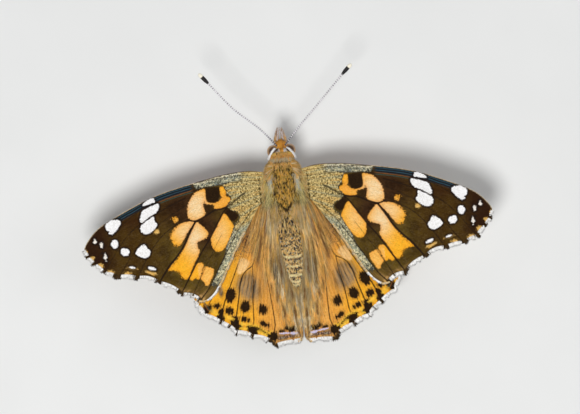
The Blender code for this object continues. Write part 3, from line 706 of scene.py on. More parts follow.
def hindwingUnder(x, y, plan):
    # Marbled olive, grey and white, netted with cream veins, and a row of ringed spots before the margin.
    edge = pathDistance(plan, outerMargin(hindwing)[0][::3])
    rings = ((13.35, -11.9, 0.85), (10.95, -13.0, 0.72), (9.15, -15.1, 0.62), (6.8, -16.4, 0.8), (4.2, -17.3, 0.55))
    none, full = np.full(len(plan), -1.5), np.ones(len(plan))
    return {
        "orange": none, "black": none, "marble": full, "hind": full, "rim": edge,
        "tone": bell(edge, 5.9, 0.9),
        "white": markDepth(plan, ((8.6, -5.2, 1.1, 0.8, 40), (6, -10.8, 0.7, 1.2, 10), (11.7, -9.2, 0.8, 1.2, 30),
                                  (4.1, -13.2, 0.55, 1), (4.2, -6.3, 0.5, 0.9, 20))),
        "lines": lineDepth(plan, [(path, 0.12, 0.09) for path, _, _ in hindwing["veins"]]),
        "eyespot": np.min([np.hypot(x - a, y - b) / r for a, b, r in rings], axis=0),
        "pale": 1 - ramp(x, 1.6, 3.2),
    }


def makeWing(name, wing, side, drop, sweep, upperMarks, underMarks, materials):
    # The plan patch lifted to the arched sheet, with a face above and one below it: half the thickness is the
    # membrane's, plus a bell-shaped ridge over each vein, and between the veins the sheet sags a little.
    plan = wingPlan(wing)
    rows, columns = plan.shape[:2]
    flat = plan.reshape(-1, 2)
    x, y = flat.T
    ground = swept(flat, sweep)
    if drop:
        ground = clearOfBelly(ground, side)
    apart = np.min([pathDistance(flat, smoothCurve(path, step=0.35)) for path, _, _ in wing["veins"]], axis=0)
    u = np.repeat(np.linspace(0, 1, rows), columns)
    edgeFade = np.clip(np.minimum(u, 1 - u) * 12, 0, 1)
    height = sheetHeight(*ground.T) - drop - wingSheet["sag"] * edgeFade * (1 - np.exp(-apart / wingSheet["sagReach"]))
    half = wingSheet["membrane"] + wingSheet["veinHeight"] * bell(apart, 0.0, wingSheet["veinHalfWidth"])
    top, under = (np.column_stack([side * ground[:, 0], ground[:, 1], height + part]) for part in (half, -half))
    above = gridFaces(rows, columns)
    below = above[:, ::-1] + len(flat)
    grid = np.arange(len(flat)).reshape(rows, columns)
    border = np.concatenate([grid[0, :-1], grid[:-1, -1], grid[-1, :0:-1], grid[:0:-1, 0]])
    after = np.roll(border, -1)
    faces = [above, below, np.column_stack([after, border, border + len(flat), after + len(flat)])]
    if side > 0:
        faces = [part[:, ::-1] for part in faces]
    upper, lower = upperMarks(x, y, flat), underMarks(x, y, flat)
    zero = np.zeros(len(flat))
    values = {key: np.concatenate([upper.get(key, zero), lower.get(key, zero)]) for key in {**upper, **lower}}
    uv = squareUv(flat, flat, 0.48, 0.01)
    makePiece(name, "wing_scales", np.vstack([top, under]), faces, materials, [name],
              np.repeat((0, 1, 0), [len(above), len(below), len(border)]), values,
              {"plan": np.tile(np.column_stack([x, y, zero]), (2, 1)), "ray": np.tile(rayAcross(wing, x, y), (2, 1))},
              np.vstack([uv, uv + (0.0, 0.5)]))
    return {"side": side, "plan": plan, "ground": ground, "top": top}


def squareUv(spots, whole, size, start):
    # The plan, scaled alike both ways into a square of the UV map.
    return (spots - whole.min(0)) / np.ptp(whole, axis=0).max() * size + start


def scaleBump(shade, cells, fine):
    # A fine noise over one small dome for each scale.
    return shade.bump(fine, 0.06, 0.35, below=shade.bump(shade.facets(cells), 0.02, 0.5))


def wingUpperMaterial():
    # Powdery scales: each cell of a fine pattern is one scale with its own shade. Depths are cut to edges that
    # follow the scales, and the layers go on in turn: ground, orange, smoke, dust, dark lines, light marks.
    shade = Shade("wingUpper", 0.75, Specular_IOR_Level=0.03)
    mix, layers, value = shade.mix, shade.layers, shade.value
    plan, ray = shade.vector("plan"), shade.vector("ray")
    cells = shade.place(plan, (7.5, 13.0, 1.0), (0.0, 0.0, 0.7))
    first, second, third = shade.scales(cells)
    speck, grain, glint = shade.scales(shade.place(plan, (8.2, 7.0, 1.0), (0.0, 0.0, 0.5)))
    tiny, mottle, _ = shade.scales(shade.place(ray, (7.0, 5.0, 1.0)))
    warmth, dust, gold, bareRim = value("warmth"), value("dust"), value("gold"), value("rim")
    hind = warmth.step(0.9, 1.0)
    cloud, fine = shade.noise(plan, 0.55, 4.0), shade.noise(plan, 3.2)
    hairline, streak = (shade.noise(shade.place(ray, stretch), 1.0, 4.0)
                        for stretch in ((7.0, 0.35, 1.0), (3.6, 0.22, 1.0)))
    fan = shade.noise(shade.place(ray, (2.1, 0.12, 1.0)), 1.0)
    ragged = (first - 0.5) * 0.13 + (fine - 0.5) * 0.3 + (speck - 0.5) * 0.1
    px = shade.axis(plan, 0)
    tip = px.step(25.5, 29.5)

    patchy = cloud.step(0.4, 0.6)
    ground = layers(mix(cloud.step(0.35, 0.65), (0.06, 0.035, 0.005), (0.112, 0.068, 0.01)),
                    (mottle.step(0.72, 1.0) * 0.4, (0.13, 0.085, 0.035)),
                    (warmth, mix(patchy, (0.021, 0.007, 0.0035), (0.042, 0.016, 0.007))),
                    (tip * 0.9, mix(patchy, (0.01, 0.005, 0.006), (0.022, 0.011, 0.008))),
                    (hairline.step(0.52, 0.66) * 0.35, (0.012, 0.007, 0.004)),
                    (px.step(17.0, 22.0) * 0.55, (0.034, 0.01, 0.001)),
                    (second.step(0.78, 1.0) * 0.3 * (1 - warmth) * (1 - tip), (0.15, 0.1, 0.045)))
    deep = layers(mix(second, (0.88, 0.36, 0.014), (0.93, 0.48, 0.03)),
                  (hairline.step(0.5, 0.75) * 0.5, (0.9, 0.52, 0.09)),
                  (hairline.fall(0.34, 0.48) * 0.4, (0.66, 0.25, 0.02)))
    rosy = layers(mix(second, (0.84, 0.54, 0.24), (0.9, 0.68, 0.38)),
                  (hairline.step(0.5, 0.7) * 0.4, (0.94, 0.76, 0.5)),
                  (hairline.fall(0.32, 0.46) * 0.35, (0.86, 0.46, 0.13)))
    depth = value("orange") + ragged * (1 + px.step(16.2, 17.5) * (1 - hind) * 1.4)
    orange = layers(deep, (value("tone"), rosy),
                    (value("russet") * 0.8, mix(second, (0.74, 0.28, 0.05), (0.88, 0.4, 0.09))),
                    (depth.fall(-0.05, 0.55) * 0.45, (0.78, 0.26, 0.015)))
    strands = streak.step(0.38, 0.62)
    base = layers(ground, (depth.step(-0.06, 0.08), orange),
                  (value("smoke") * (0.35 + 0.8 * hairline.step(0.4, 0.6)),
                   mix(strands, (0.18, 0.095, 0.035), (0.66, 0.38, 0.13))),
                  (hairline.fall(0.34, 0.42) * hind * px.fall(6.5, 9.0) * 0.4, (0.22, 0.09, 0.05)),
                  (value("haze") * (0.72 + 0.28 * hairline.step(0.4, 0.56)),
                   mix(strands, (0.08, 0.058, 0.036), (0.3, 0.2, 0.105))))

    grain = grain * 0.65 + mottle * 0.35
    dusty = layers(mix(grain.step(0.3, 0.7), (0.18, 0.17, 0.1), (0.74, 0.65, 0.38)),
                   (glint.step(0.84, 0.9) * 0.45, (0.22, 0.32, 0.36)),
                   (hind, mix(grain, (0.26, 0.16, 0.09), (0.7, 0.46, 0.3))),
                   (gold, mix(grain.step(0.15, 0.85), (0.22, 0.15, 0.045), (0.8, 0.63, 0.27))),
                   (fan.step(0.52, 0.6) * 0.6 * gold, (0.72, 0.42, 0.11)),
                   (fan.fall(0.38, 0.46) * 0.55, (0.26, 0.29, 0.21)),
                   (value("laneLight") * 0.85, mix(grain, (0.5, 0.44, 0.28), (0.92, 0.84, 0.62))),
                   (value("laneDark"), mix(grain.step(0.35, 0.9), (0.035, 0.06, 0.085), (0.26, 0.33, 0.32))))
    covered = (dust - speck * 0.7 - tiny * 0.4 - (hairline - 0.5) * 0.7).step(-0.06, 0.06)
    dark = layers((0.06, 0.056, 0.038), (gold, (0.066, 0.046, 0.015)), (hind, (0.085, 0.045, 0.03)))
    base = mix((dust + (speck - 0.5) * 0.35).step(0.12, 0.34), base, mix(covered, dark, dusty))

    black = value("black") + ragged * 1.25 + (hairline - 0.47) * hind * 1.6
    buff = mix(warmth.step(0.6, 1.0), mix(second, (0.72, 0.36, 0.05), (0.88, 0.6, 0.22)),
               mix(second, (0.9, 0.46, 0.025), (0.94, 0.6, 0.08)))
    # The dark strip along the front edge: dark scales under blue-green lanes of painted sheen.
    lanes = (bareRim * (fullTurn / 0.36) + cloud * 5.0).math("SINE")
    gloss = layers(mix(lanes.step(-0.3, 0.9), (0.01, 0.011, 0.015), (0.018, 0.058, 0.09)),
                   (third * lanes.step(0.2, 0.9) * 0.4, (0.05, 0.11, 0.1)),
                   (bareRim.fall(0.14, 0.24), (0.01, 0.008, 0.01)))
    rim = bareRim + (fine - 0.5) * 0.12
    beside = px.step(13.8, 14.6) * px.fall(19.0, 19.8) * 0.8
    costa = mix(px.step(13.3, 13.9), (0.06, 0.022, 0.028), mix(speck, (0.3, 0.22, 0.12), (0.8, 0.64, 0.42)))
    white = value("white") + ragged * 0.8 + (hairline - 0.5) * px.step(26.9, 27.4) * 0.9
    pale = layers(mix(second, (0.82, 0.8, 0.78), (0.92, 0.91, 0.9)), (hind, (0.6, 0.54, 0.7)),
                  (px.step(28.0, 28.2), (0.8, 0.74, 0.66)))
    base = layers(base, (black.step(-0.42, -0.05) * hind * 0.45, (0.26, 0.12, 0.035)),
                  (black.step(-0.08, 0.08), mix(second, (0.014, 0.007, 0.003), (0.032, 0.016, 0.005))),
                  ((value("lines") + ragged * 0.25).step(-0.05, 0.03) * 0.92 * (1 - dust.step(0.2, 0.7) * 0.15),
                   (0.018, 0.01, 0.006)),
                  ((value("buff") + ragged * 1.8).step(-0.12, 0.14) * 0.85, buff),
                  (value("gloss") * 0.92, gloss),
                  (rim.near(1.08, 0.03, 0.09) * beside, (0.24, 0.085, 0.022)),
                  (rim.near(1.28, 0.05, 0.1) * beside, (0.045, 0.075, 0.055)),
                  (rim.fall(0.07, 0.13) * px.step(3.2, 4.2) * (1 - hind) * 0.9, costa),
                  ((white + 0.3).step(-0.12, 0.12) * px.step(18.0, 19.0) * 0.75, (0.012, 0.006, 0.005)),
                  (white.step(-0.05, 0.05), pale))
    base = mix(0.8 * third.fall(0.0, 0.45), base, (0.72, 0.7, 0.66), "MULTIPLY")
    return shade.finish(base, scaleBump(shade, cells, fine))


def wingUnderMaterial():
    # The lower face: rosy orange, an olive-buff marbling of warped noise, cream veins and ringed spots.
    shade = Shade("wingUnder", 0.75, Sheen_Weight=0.04, Sheen_Roughness=0.4, Specular_IOR_Level=0.12)
    mix, layers, value = shade.mix, shade.layers, shade.value
    plan = shade.vector("plan")
    cells = shade.place(plan, (7.5, 13.0, 1.0), (0.0, 0.0, 0.7))
    first, second, _ = shade.scales(cells)
    fine = shade.noise(plan, 3.0)
    ragged = (first - 0.5) * 0.13 + (fine - 0.5) * 0.22
    blotch = shade.noise(plan, 0.62, 5.0, 0.6)
    patch = shade.noise(shade.place(plan, turn=(0.3, 0.2, 1.1)), 0.85, 4.0, 0.6)
    hind, tone, edge = value("hind"), value("tone"), value("rim")

    marble = layers(mix(blotch.step(0.46, 0.52), (0.185, 0.125, 0.06), (0.4, 0.33, 0.21)),
                    (patch.step(0.54, 0.6), (0.62, 0.56, 0.44)),
                    (patch.step(0.4, 0.36), (0.115, 0.08, 0.045)),
                    (second * 0.175, (0.75, 0.68, 0.52)),
                    (1 - hind, mix(blotch.step(0.44, 0.54), (0.4, 0.3, 0.16), (0.62, 0.52, 0.34))))
    rosy = layers((0.86, 0.31, 0.085), (tone, (0.88, 0.42, 0.22)), (second * 0.3, (0.95, 0.55, 0.33)))
    ring = value("eyespot") + ragged * 0.35
    spot = layers((0.16, 0.3, 0.45), (ring.step(0.22, 0.34), (0.02, 0.018, 0.016)),
                  (ring.step(0.5, 0.58), (0.72, 0.52, 0.16)), (ring.step(0.78, 0.86), (0.05, 0.035, 0.02)))
    base = layers(mix(blotch, (0.02, 0.013, 0.009), (0.05, 0.032, 0.018)),
                  ((value("orange") + ragged).step(-0.06, 0.08), rosy),
                  (value("marble").step(0.25, 0.65), marble),
                  (value("pale") * 0.8, (0.5, 0.42, 0.3)),
                  (tone * hind * patch.step(0.38, 0.52) * 0.8, (0.74, 0.69, 0.58)),
                  ((value("black") + ragged).step(-0.08, 0.08), (0.022, 0.014, 0.01)),
                  ((value("lines") + ragged * 0.2).step(-0.04, 0.03) * 0.85,
                   mix(hind, (0.3, 0.18, 0.09), (0.74, 0.66, 0.48))),
                  ((value("white") + ragged).step(-0.08, 0.08) * 0.92, (0.86, 0.83, 0.75)),
                  (edge.near(1.55, 0.1, 0.3) * hind * 0.85, (0.42, 0.4, 0.5)),
                  (edge.near(0.95, 0.03, 0.12) * hind * 0.8, (0.1, 0.07, 0.04)),
                  (edge.near(0.55, 0.12, 0.3) * hind * 0.8, (0.66, 0.5, 0.26)),
                  (ring.fall(0.93, 1.05) * hind, spot),
                  (ring.fall(0.25, 0.45) * (1 - hind) * 0.5, (0.35, 0.35, 0.35)))
    return shade.finish(base, scaleBump(shade, cells, fine))


# Hair: three-sided tapering spikes, each bent back along the lie of the coat
def hairMesh(name, slot, roots, ways, lifts, lengths, width, tints, uvRoots, rings=2, flat=1.0, droop=0.35,
             taperPower=0.8, material=None, **finish):
    # A hair's middle line is root + way·s + lift·(s - 2·droop·s²), s running over its length; at each ring
    # three points stand round it at the hair's width, which falls off as a power of (1 - s) to a point.
    count = len(roots)
    along = np.linspace(0, 1, rings + 1)
    sideways = unit(np.cross(ways, lifts))
    upwards = unit(np.cross(sideways, ways))
    s = along[None, :, None]
    middle = roots[:, None] + lengths[:, None, None] * (ways[:, None] * s + lifts[:, None] * (s - droop * 2 * s**2))
    angle = np.array([3, 7, 11])[None, None, :, None] * math.pi / 6
    taper = (1 - along[:-1])[None, :, None, None] ** taperPower
    ring = np.cos(angle) * sideways[:, None, None] + flat * np.sin(angle) * upwards[:, None, None]
    body = middle[:, :-1, None] + width / 2 * taper * ring
    points = np.concatenate([body.reshape(count, -1, 3), middle[:, -1:]], axis=1)
    quads, tips, end = [], [], 3 * rings
    for k in range(3):
        n = (k + 1) % 3
        quads += [(3 * r + k, 3 * r + n, 3 * r + 3 + n, 3 * r + 3 + k) for r in range(rings - 1)]
        tips.append((end - 3 + k, end - 3 + n, end))
    offset = (np.arange(count) * (end + 1))[:, None, None]
    faces = [(np.array(part)[None] + offset).reshape(-1, len(part[0])) for part in (quads, [*tips, (2, 1, 0)])]
    along = np.append(np.repeat(along[:-1], 3), 1.0)
    patch = 0.003 * np.column_stack([along, [*[0.0, 0.5, 1.0] * rings, 0.5]])
    makePiece(name, slot, points.reshape(-1, 3), faces, [material or hairMaterial(name, **finish)],
              values={"along": np.tile(along, count)}, vectors={"tint": np.repeat(tints, end + 1, axis=0)},
              uv=(uvRoots[:, None] + patch[None]).reshape(-1, 2))


def hairMaterial(name, rootShade=0.35, tipLift=0.12):
    # The hair's own tint, with painted shade darkening it towards the root where the hairs crowd, paler at the tip, and
    # a slow drift of darker tone over the coat.
    shade = Shade(name, 0.7, Specular_IOR_Level=0.06)
    along, drift = shade.value("along"), shade.noise(shade.place(), 1.4)
    # Black over the root half, by the root shade's share: painted shade of the crowded coat.
    return shade.finish(shade.layers(shade.vector("tint"), (along.fall(0.0, 0.55) * rootShade, (0, 0, 0)),
                                     (along.step(0.55, 1.0) * tipLift, (1, 0.92, 0.75)),
                                     ((drift - 0.5).step(0.0, 0.3) * 0.18, (0.05, 0.03, 0.01))))


def roundUv(angle, share):
    # The angle round a piece, and the share of its length.
    return np.column_stack([angle / fullTurn * 0.9 + 0.03, share * 0.9 + 0.03])


def cellDraw(u, v):
    # One draw from 0 to 1 for each whole-numbered cell of the plane.
    wave = np.sin(np.floor(u) * 127.1 + np.floor(v) * 311.7) * 43758.5453
    return wave - np.floor(wave)


def tintsFrom(random, weights, colours, spread=0.14, clump=None):
    # Each hair takes one colour by its weight among the weights at its root, a little lighter or darker.
    # Most hairs of one clump share the clump's draw. Without a random source it is the mean by weight.
    weights = np.maximum(np.stack(np.broadcast_arrays(*weights), axis=1), 0)
    if random is None:
        return weights @ np.array(colours) / weights.sum(1, keepdims=True)
    share = np.cumsum(weights / weights.sum(1, keepdims=True), axis=1)
    draw = random.random(len(weights))
    if clump is not None:
        draw = np.where(random.random(len(weights)) < 0.87, clump, draw)
    pick = (draw[:, None] > share).sum(1).clip(0, len(colours) - 1)
    tint = np.array(colours)[pick]
    return np.clip(tint * (1 + spread * random.standard_normal((len(tint), 1))), 0.002, 1.0)


# Body skin: one surface from the face to the tail. Rows: y, middle height, half width, half height.
bodyRows = ((9.4, 6.6, 0.2, 0.25), (9.2, 6.65, 0.6, 0.65), (8.7, 6.7, 0.92, 0.98), (8.0, 6.7, 1.22, 1.2),
            (7.4, 6.65, 1.55, 1.26), (6.8, 6.6, 1.62, 1.3), (6.2, 6.5, 1.85, 1.5), (5.4, 6.4, 2.15, 1.9),
            (4.2, 6.3, 2.28, 2.25), (2.4, 6.2, 2.42, 2.42), (0.6, 6.15, 2.28, 2.33), (-0.8, 6.1, 1.9, 1.95),
            (-1.6, 6.05, 1.55, 1.65), (-2.2, 6.0, 1.45, 1.58), (-4.4, 5.95, 1.68, 1.72), (-7.2, 5.8, 1.66, 1.7),
            (-10.0, 5.6, 1.32, 1.36), (-12.2, 5.4, 0.82, 0.95), (-13.15, 5.25, 0.3, 0.4))
bodyTable = smoothCurve(bodyRows, count=400)[::-1]
segmentEdges = (-3.0, -4.8, -6.5, -8.3, -10.0, -11.2, -12.3, -13.2)


def bodyRead(y, column):
    # One column of the body's table, read at y.
    return np.interp(y, bodyTable[:, 0], bodyTable[:, column])


def widthAcross(y, angle):
    # Distance to the side on the skin: the half width there times the cosine of the angle.
    return bodyRead(y, 2) * np.cos(angle)


def bodyPoint(y, angle):
    # A superellipse across the body at y: its middle, half width and half height are read from the rows, and
    # behind the waist it is pinched a little at each segment's edge.
    swell = 1 - 0.05 * bell(np.min([np.abs(y - edge) for edge in segmentEdges], axis=0), 0, 0.22)
    x, rise = (np.sign(wave) * np.abs(wave) ** (2 / 2.2) * bodyRead(y, column) * swell
               for wave, column in ((np.cos(angle), 2), (np.sin(angle), 3)))
    centre = headShift * ramp(y, 6.2, 7.4) + middleLine(y)
    return np.stack([x + centre, y, bodyRead(y, 1) + rise], axis=-1)


def bodyFrame(y, angle):
    # Point, outward normal, rearward tangent and the tangent round the body, by small differences.
    back = unit(bodyPoint(y - 0.05, angle) - bodyPoint(y + 0.05, angle))
    normal = unit(np.cross(bodyPoint(y, angle + 0.03) - bodyPoint(y, angle - 0.03), back))
    return bodyPoint(y, angle), normal, back, unit(np.cross(normal, back))


def makeBody():
    # Rings of the superellipse at even steps of y, closed at both ends. The skin carries the mean tint of the
    # coat over it.
    rows, sides = 260, 72
    y = np.repeat(np.linspace(9.28, -13.13, rows), sides)
    angle = np.tile(turnAngles(sides), rows)
    tints = np.select([(y > 6.75)[:, None], (y < -1.6)[:, None]], [headTint(y, angle), abdomenTint(y, angle)],
                      thoraxTint(y, angle))
    shade = Shade("bodySkin", 0.85, Specular_IOR_Level=0.1)
    speck = shade.noise(shade.place(), 9.0, 4.0)
    base = shade.mix(speck.step(0.4, 0.6) * 0.5, shade.vector("tint"), (0.07, 0.045, 0.02))
    closedTube("bodySkin", "body_hair", bodyPoint(y, angle).reshape(rows, sides, 3),
               shade.finish(base, shade.bump(speck, 0.08, 0.6)), ["thorax", "head", "abdomen"],
               vectors={"tint": np.vstack([tints, tints[0], tints[-1]])})


# The body's coats: the stretch of y they grow on, how many hairs are drawn, the lift's least and its spread,
# the spread of their swing sideways, and the range that a length is scaled by
# A coat's root shade sets how much painted shade darkens the root half of its hairs.
bodyCoats = {
    "thoraxCoat": {"seed": 11, "reach": (-2.2, 6.75), "count": 12500, "lie": (0.30, 0.14, 0.12), "width": 0.075,
                   "rings": 3, "angles": (-0.15, math.pi + 0.15), "scaled": (0.7, 1.2), "rootShade": 0.3},
    "breastCoat": {"seed": 14, "reach": (-2.0, 6.75), "count": 9000, "lie": (0.30, 0.14, 0.12), "width": 0.065,
                   "angles": (math.pi, fullTurn), "scaled": (0.7, 1.2)},
    "headCoat": {"seed": 12, "reach": (6.6, 9.36), "count": 15000, "lie": (0.45, 0.3, 0.2), "width": 0.05,
                 "scaled": (0.7, 1.25)},
    "abdomenCoat": {"seed": 13, "reach": (-13.15, -1.4), "count": 20000, "lie": (0.1, 0.12, 0.07), "width": 0.125,
                    "scaled": (0.75, 1.2), "flat": 0.35, "rootShade": 0.1},
}


faceParting = 8.42  # the hair in front of it lies forward


def bodyCoat(name, lengthAt, tintAt, liftAt=None):
    # Roots are drawn evenly over the stretch of skin; a root's hair leaves along the rearward tangent, lifted
    # by the local share of the normal. Its tint is that of the place its outer half lies over.
    coat = bodyCoats[name]
    random = np.random.default_rng(coat["seed"])
    y = random.uniform(*coat["reach"], coat["count"])
    angle = random.uniform(*coat.get("angles", (0.0, fullTurn)), coat["count"])
    keep = random.random(coat["count"]) < np.clip(bodyRead(y, 2) / 2.25, 0.15, 1)
    y, angle = y[keep], angle[keep]
    point, normal, back, sideways = bodyFrame(y, angle)
    least, spread, swing = coat["lie"]
    lift = least + spread * random.random(len(y)) + (liftAt(y, angle) if liftAt else 0)
    swing = swing * random.standard_normal(len(y))
    course = np.where(y + 0.1 * random.standard_normal(len(y)) > faceParting, -1.0, 1.0)
    stray = 0.12 * random.standard_normal((len(y), 3))
    lengths = lengthAt(y, angle) * random.uniform(*coat["scaled"], len(y))
    seen = np.clip(y - 0.7 * course * np.minimum(lengths, 0.6), *coat["reach"])
    hairMesh(name, "body_hair", point + 0.01 * normal, unit(course[:, None] * back + swing[:, None] * sideways + stray),
             normal * lift[:, None], lengths, coat["width"], tintAt(seen, angle, random),
             np.column_stack([angle / fullTurn, (y + 13.5) / 23.5]) * 0.95 + 0.02, coat.get("rings", 2),
             flat=coat.get("flat", 0.6), rootShade=coat.get("rootShade", 0.35))


tan, olive = (0.76, 0.48, 0.17), (0.54, 0.36, 0.085)
darkBrown, blueGrey, cream = (0.05, 0.028, 0.01), (0.5, 0.51, 0.42), (0.88, 0.74, 0.46)
white, rust, greyTan = (0.9, 0.88, 0.84), (0.62, 0.24, 0.045), (0.62, 0.5, 0.31)
nightBlue, orangeTan = (0.032, 0.032, 0.036), (0.86, 0.47, 0.12)


def behindChevron(y, angle):
    # 1 behind the V on the thorax's rear, whose arms run forward and outward in straight lines.
    return ramp(1.15 * np.abs(widthAcross(y, angle)) - 1.6 - y, 0.0, 0.3)


def flankShare(y, angle, start):
    # 1 on the hind body's sides, coming in towards its rear.
    return ramp(np.abs(np.cos(angle)), 0.8, 0.95) * ramp(-y, start, 9.0)


def thoraxTint(y, angle, random=None):
    # A speckled golden field on the back with a dark V at its rear, grey bands beside it, tan shoulders, a grey
    # ring at the neck, and cream below.
    across = widthAcross(y, angle)
    x = np.abs(across)
    upper = np.sin(angle) > 0
    lower = 1.0 - upper
    behind = behindChevron(y, angle) * upper
    shown = upper * (1 - behind)
    field = (ramp(1.65 + 0.25 * bell(y, 2.3, 1.5) - x, -0.15, 0.3) * ramp(5.3 - y, -0.2, 0.5)
             * ramp(y + 1.7, 0, 0.5) * shown)
    pale = bell(x, 2.05, 0.4) * ramp(5.2 - y, 0, 0.8) * ramp(y + 1.5, 0, 1.0) * shown
    ring = ramp(y, 6.1, 6.25) * upper
    front = ramp(y + 0.35 * x, 5.2, 5.9) * upper * (1 - ring)
    chevron = bell(y + 1.35 - 1.15 * x, 0.0, 0.17) * (x < 1.7) * upper
    line = (2.0 * bell(y, 6.1, 0.12) + bell(y, 5.35, 0.1)) * (x < 1.3) * upper
    bands = 0.7 * bell(x, 0.85, 0.2) * ramp(y, 1.5, 3.0) + bell(x, 1.45, 0.25)
    core = field * (1 - ramp(x, 0.6, 1.1))
    return tintsFrom(random, [
        0.4 * field + 0.1 * upper + 0.6 * behind + 0.4 * front * (x < 1.3),
        pale * (0.3 + 3.2 * bell(y, 3.8, 1.0)) + ring,
        0.8 * upper * (1 - field) + 0.15 * field,
        1.4 * front,
        0.45 * field + 0.2 * core,
        (0.6 + 0.9 * bands) * field + 24.0 * chevron + 0.4 * behind * (x < 1.1) + 3.0 * line + 0.4 * ring,
        1.4 * lower + (0.5 + 4.0 * (x > 1.35)) * ring,
        0.6 * lower + 0.5 * behind + 1.6 * pale + 0.7 * ring,
        0.55 * core,
    ], [(0.53, 0.35, 0.08), blueGrey, tan, orangeTan, (0.76, 0.42, 0.06), darkBrown, cream, greyTan,
        (0.84, 0.49, 0.11)], spread=0.2, clump=cellDraw((across + 9) / 0.19, (y + 20) / 0.24))


def headTint(y, angle, random=None):
    # An orange tuft over the face, a thin white and black bar between the eyes and a layered collar behind it.
    across = widthAcross(y, angle)
    x = np.abs(across)
    upper = np.sin(angle) > -0.1
    crown = ramp(y, 8.1, 8.3) * upper
    bar = bell(y, 7.97, 0.15) * upper
    corner = bell(x, 0.95, 0.2) * bell(y, 8.12, 0.14) * upper
    collar = ramp(7.85 - y, 0, 0.15) * upper
    return tintsFrom(random, [
        1.8 * crown + 1.6 * bar * (x < 0.28),
        4.0 * bar * (x > 0.28),
        1.8 * bar * (x > 0.28) + 8.0 * corner + 0.02,
        0.8 * collar,
        1.6 * (1.0 - upper),
        0.15 * crown + 1.2 * collar * bell(y, 6.9, 0.1),
        (0.2 + 1.4 * bell(y, 7.2, 0.18)) * collar,
        (0.12 + 0.8 * bell(y, 7.6, 0.15)) * collar,
        1.6 * collar * (1 - ramp(y, 6.72, 6.85)),
    ], [(0.97, 0.46, 0.075), white, darkBrown, tan, white, rust, orangeTan, olive, greyTan],
        spread=0.16, clump=cellDraw((across + 9) / 0.15, (y + 20) / 0.2))


def abdomenTint(y, angle, random=None):
    # Olive and tan with dark rows of specks, and a thin pale band at the rear of each ring.
    bands = ((-6.85, 0.1), (-8.58, 1.0), (-10.05, 0.2), (-11.47, 1.0), (-12.5, 1.0), (-13.0, 0.6))
    across = widthAcross(y, angle)
    upper = ramp(np.sin(angle), -0.35, 0.1)
    bowed = y - 0.1 * across**2
    band = np.max([share * np.exp(-((bowed - b) / 0.15) ** 4) for b, share in bands], axis=0)
    dark = np.max([bell(bowed, b - 0.38, 0.2) + 0.8 * bell(bowed, b + 0.28, 0.14) for b, _ in bands], axis=0)
    front = ramp(y, -6.2, -4.4)
    rear = ramp(-y, 7.0, 8.6)
    specks = (0.4 + 0.45 * ramp(y, -8.0, -7.0) + 1.6 * dark * rear
              + 1.3 * bell(y, -2.8, 0.8) * (np.abs(across) < 1.0))
    return tintsFrom(random, [
        (0.35 + 0.8 * front) * upper,
        specks * upper,
        0.1 * upper * (1 - front),
        30.0 * band * upper * (0.06 + rear),
        0.65 * upper,
        1.8 * (1 - upper) + 2.5 * flankShare(y, angle, 7.5),
        0.6 * (1 - upper),
        0.35 * upper,
    ], [(0.54, 0.35, 0.11), nightBlue, blueGrey, (1, 0.78, 0.4), (0.94, 0.64, 0.28), cream, white, (0.95, 0.53, 0.16)],
        spread=0.18, clump=np.where(band > 0.4, 0.5, cellDraw((across + 9) / 0.21, (y + 20) / 0.2)))


def makeBodyCoats():
    # Short pile on the back's middle and longer hair down the sides and behind the V; a tuft on the face; short
    # flat scales on the abdomen, longer over the waist and along the flanks.
    def thoraxLength(y, angle):
        top = np.sin(angle)
        long = 1.5 * behindChevron(y, angle) * (top > -0.3) * ramp(np.abs(widthAcross(y, angle)), 0.7, 1.3)
        return 0.5 + 0.75 * (1 - np.abs(top)) + 0.25 * (top < -0.3) + long

    def headLength(y, angle):
        face = ramp(y, 8.2, 8.5)
        return 0.5 + 0.1 * (y < 7.5) + 0.1 * face + 0.35 * face * bell(widthAcross(y, angle), 0.0, 0.4)

    bodyCoat("thoraxCoat", thoraxLength, thoraxTint)
    bodyCoat("breastCoat", thoraxLength, thoraxTint)
    makeLobes()
    bodyCoat("headCoat", headLength, headTint, lambda y, angle: 0.8 * np.abs(np.cos(angle)) ** 3 * (y < 7.8))
    makeBrow()
    bodyCoat("abdomenCoat", lambda y, angle: 0.22 + 0.4 * ramp(y, -6.0, -3.5) + 0.35 * flankShare(y, angle, 7.0),
             abdomenTint)


def makeLobes():
    # Lobes of long tan hair from the thorax's front corners, swept out and back over the roots of the wings.
    random = np.random.default_rng(17)
    count = 1700
    for sideName, side in bothSides:
        share = random.random(count)
        y = 6.3 - 1.35 * share + 0.08 * random.standard_normal(count)
        rise = random.uniform(0.2, 0.8, count) + 0.15 * share
        point, normal, back, _ = bodyFrame(y, rise if side > 0 else math.pi - rise)
        ways = (1.3 - 0.5 * share)[:, None] * unit(normal * (1, 1, 0)) + (0.35 + 0.85 * share)[:, None] * back
        ways[:, 2] += 0.45 - 0.5 * (rise - 0.2)
        ways = unit(ways + 0.05 * random.standard_normal((count, 3)))
        tints = tintsFrom(random, [1.0, 0.7, 0.3, 0.08, np.full(count, 0.3)], [orangeTan, tan, olive, darkBrown, cream],
                          spread=0.18, clump=cellDraw(share / 0.06, rise / 0.2))
        hairMesh("shoulderLobe_" + sideName, "body_hair", point, ways, np.tile((0, 0, 0.3), (count, 1)),
                 (0.5 + 1.15 * share) * random.uniform(0.75, 1.2, count), 0.055, tints,
                 np.column_stack([0.45 + 0.2 * side + 0.2 * rise, share * 0.3 + 0.65]), 3, flat=0.5, rootShade=0.25)


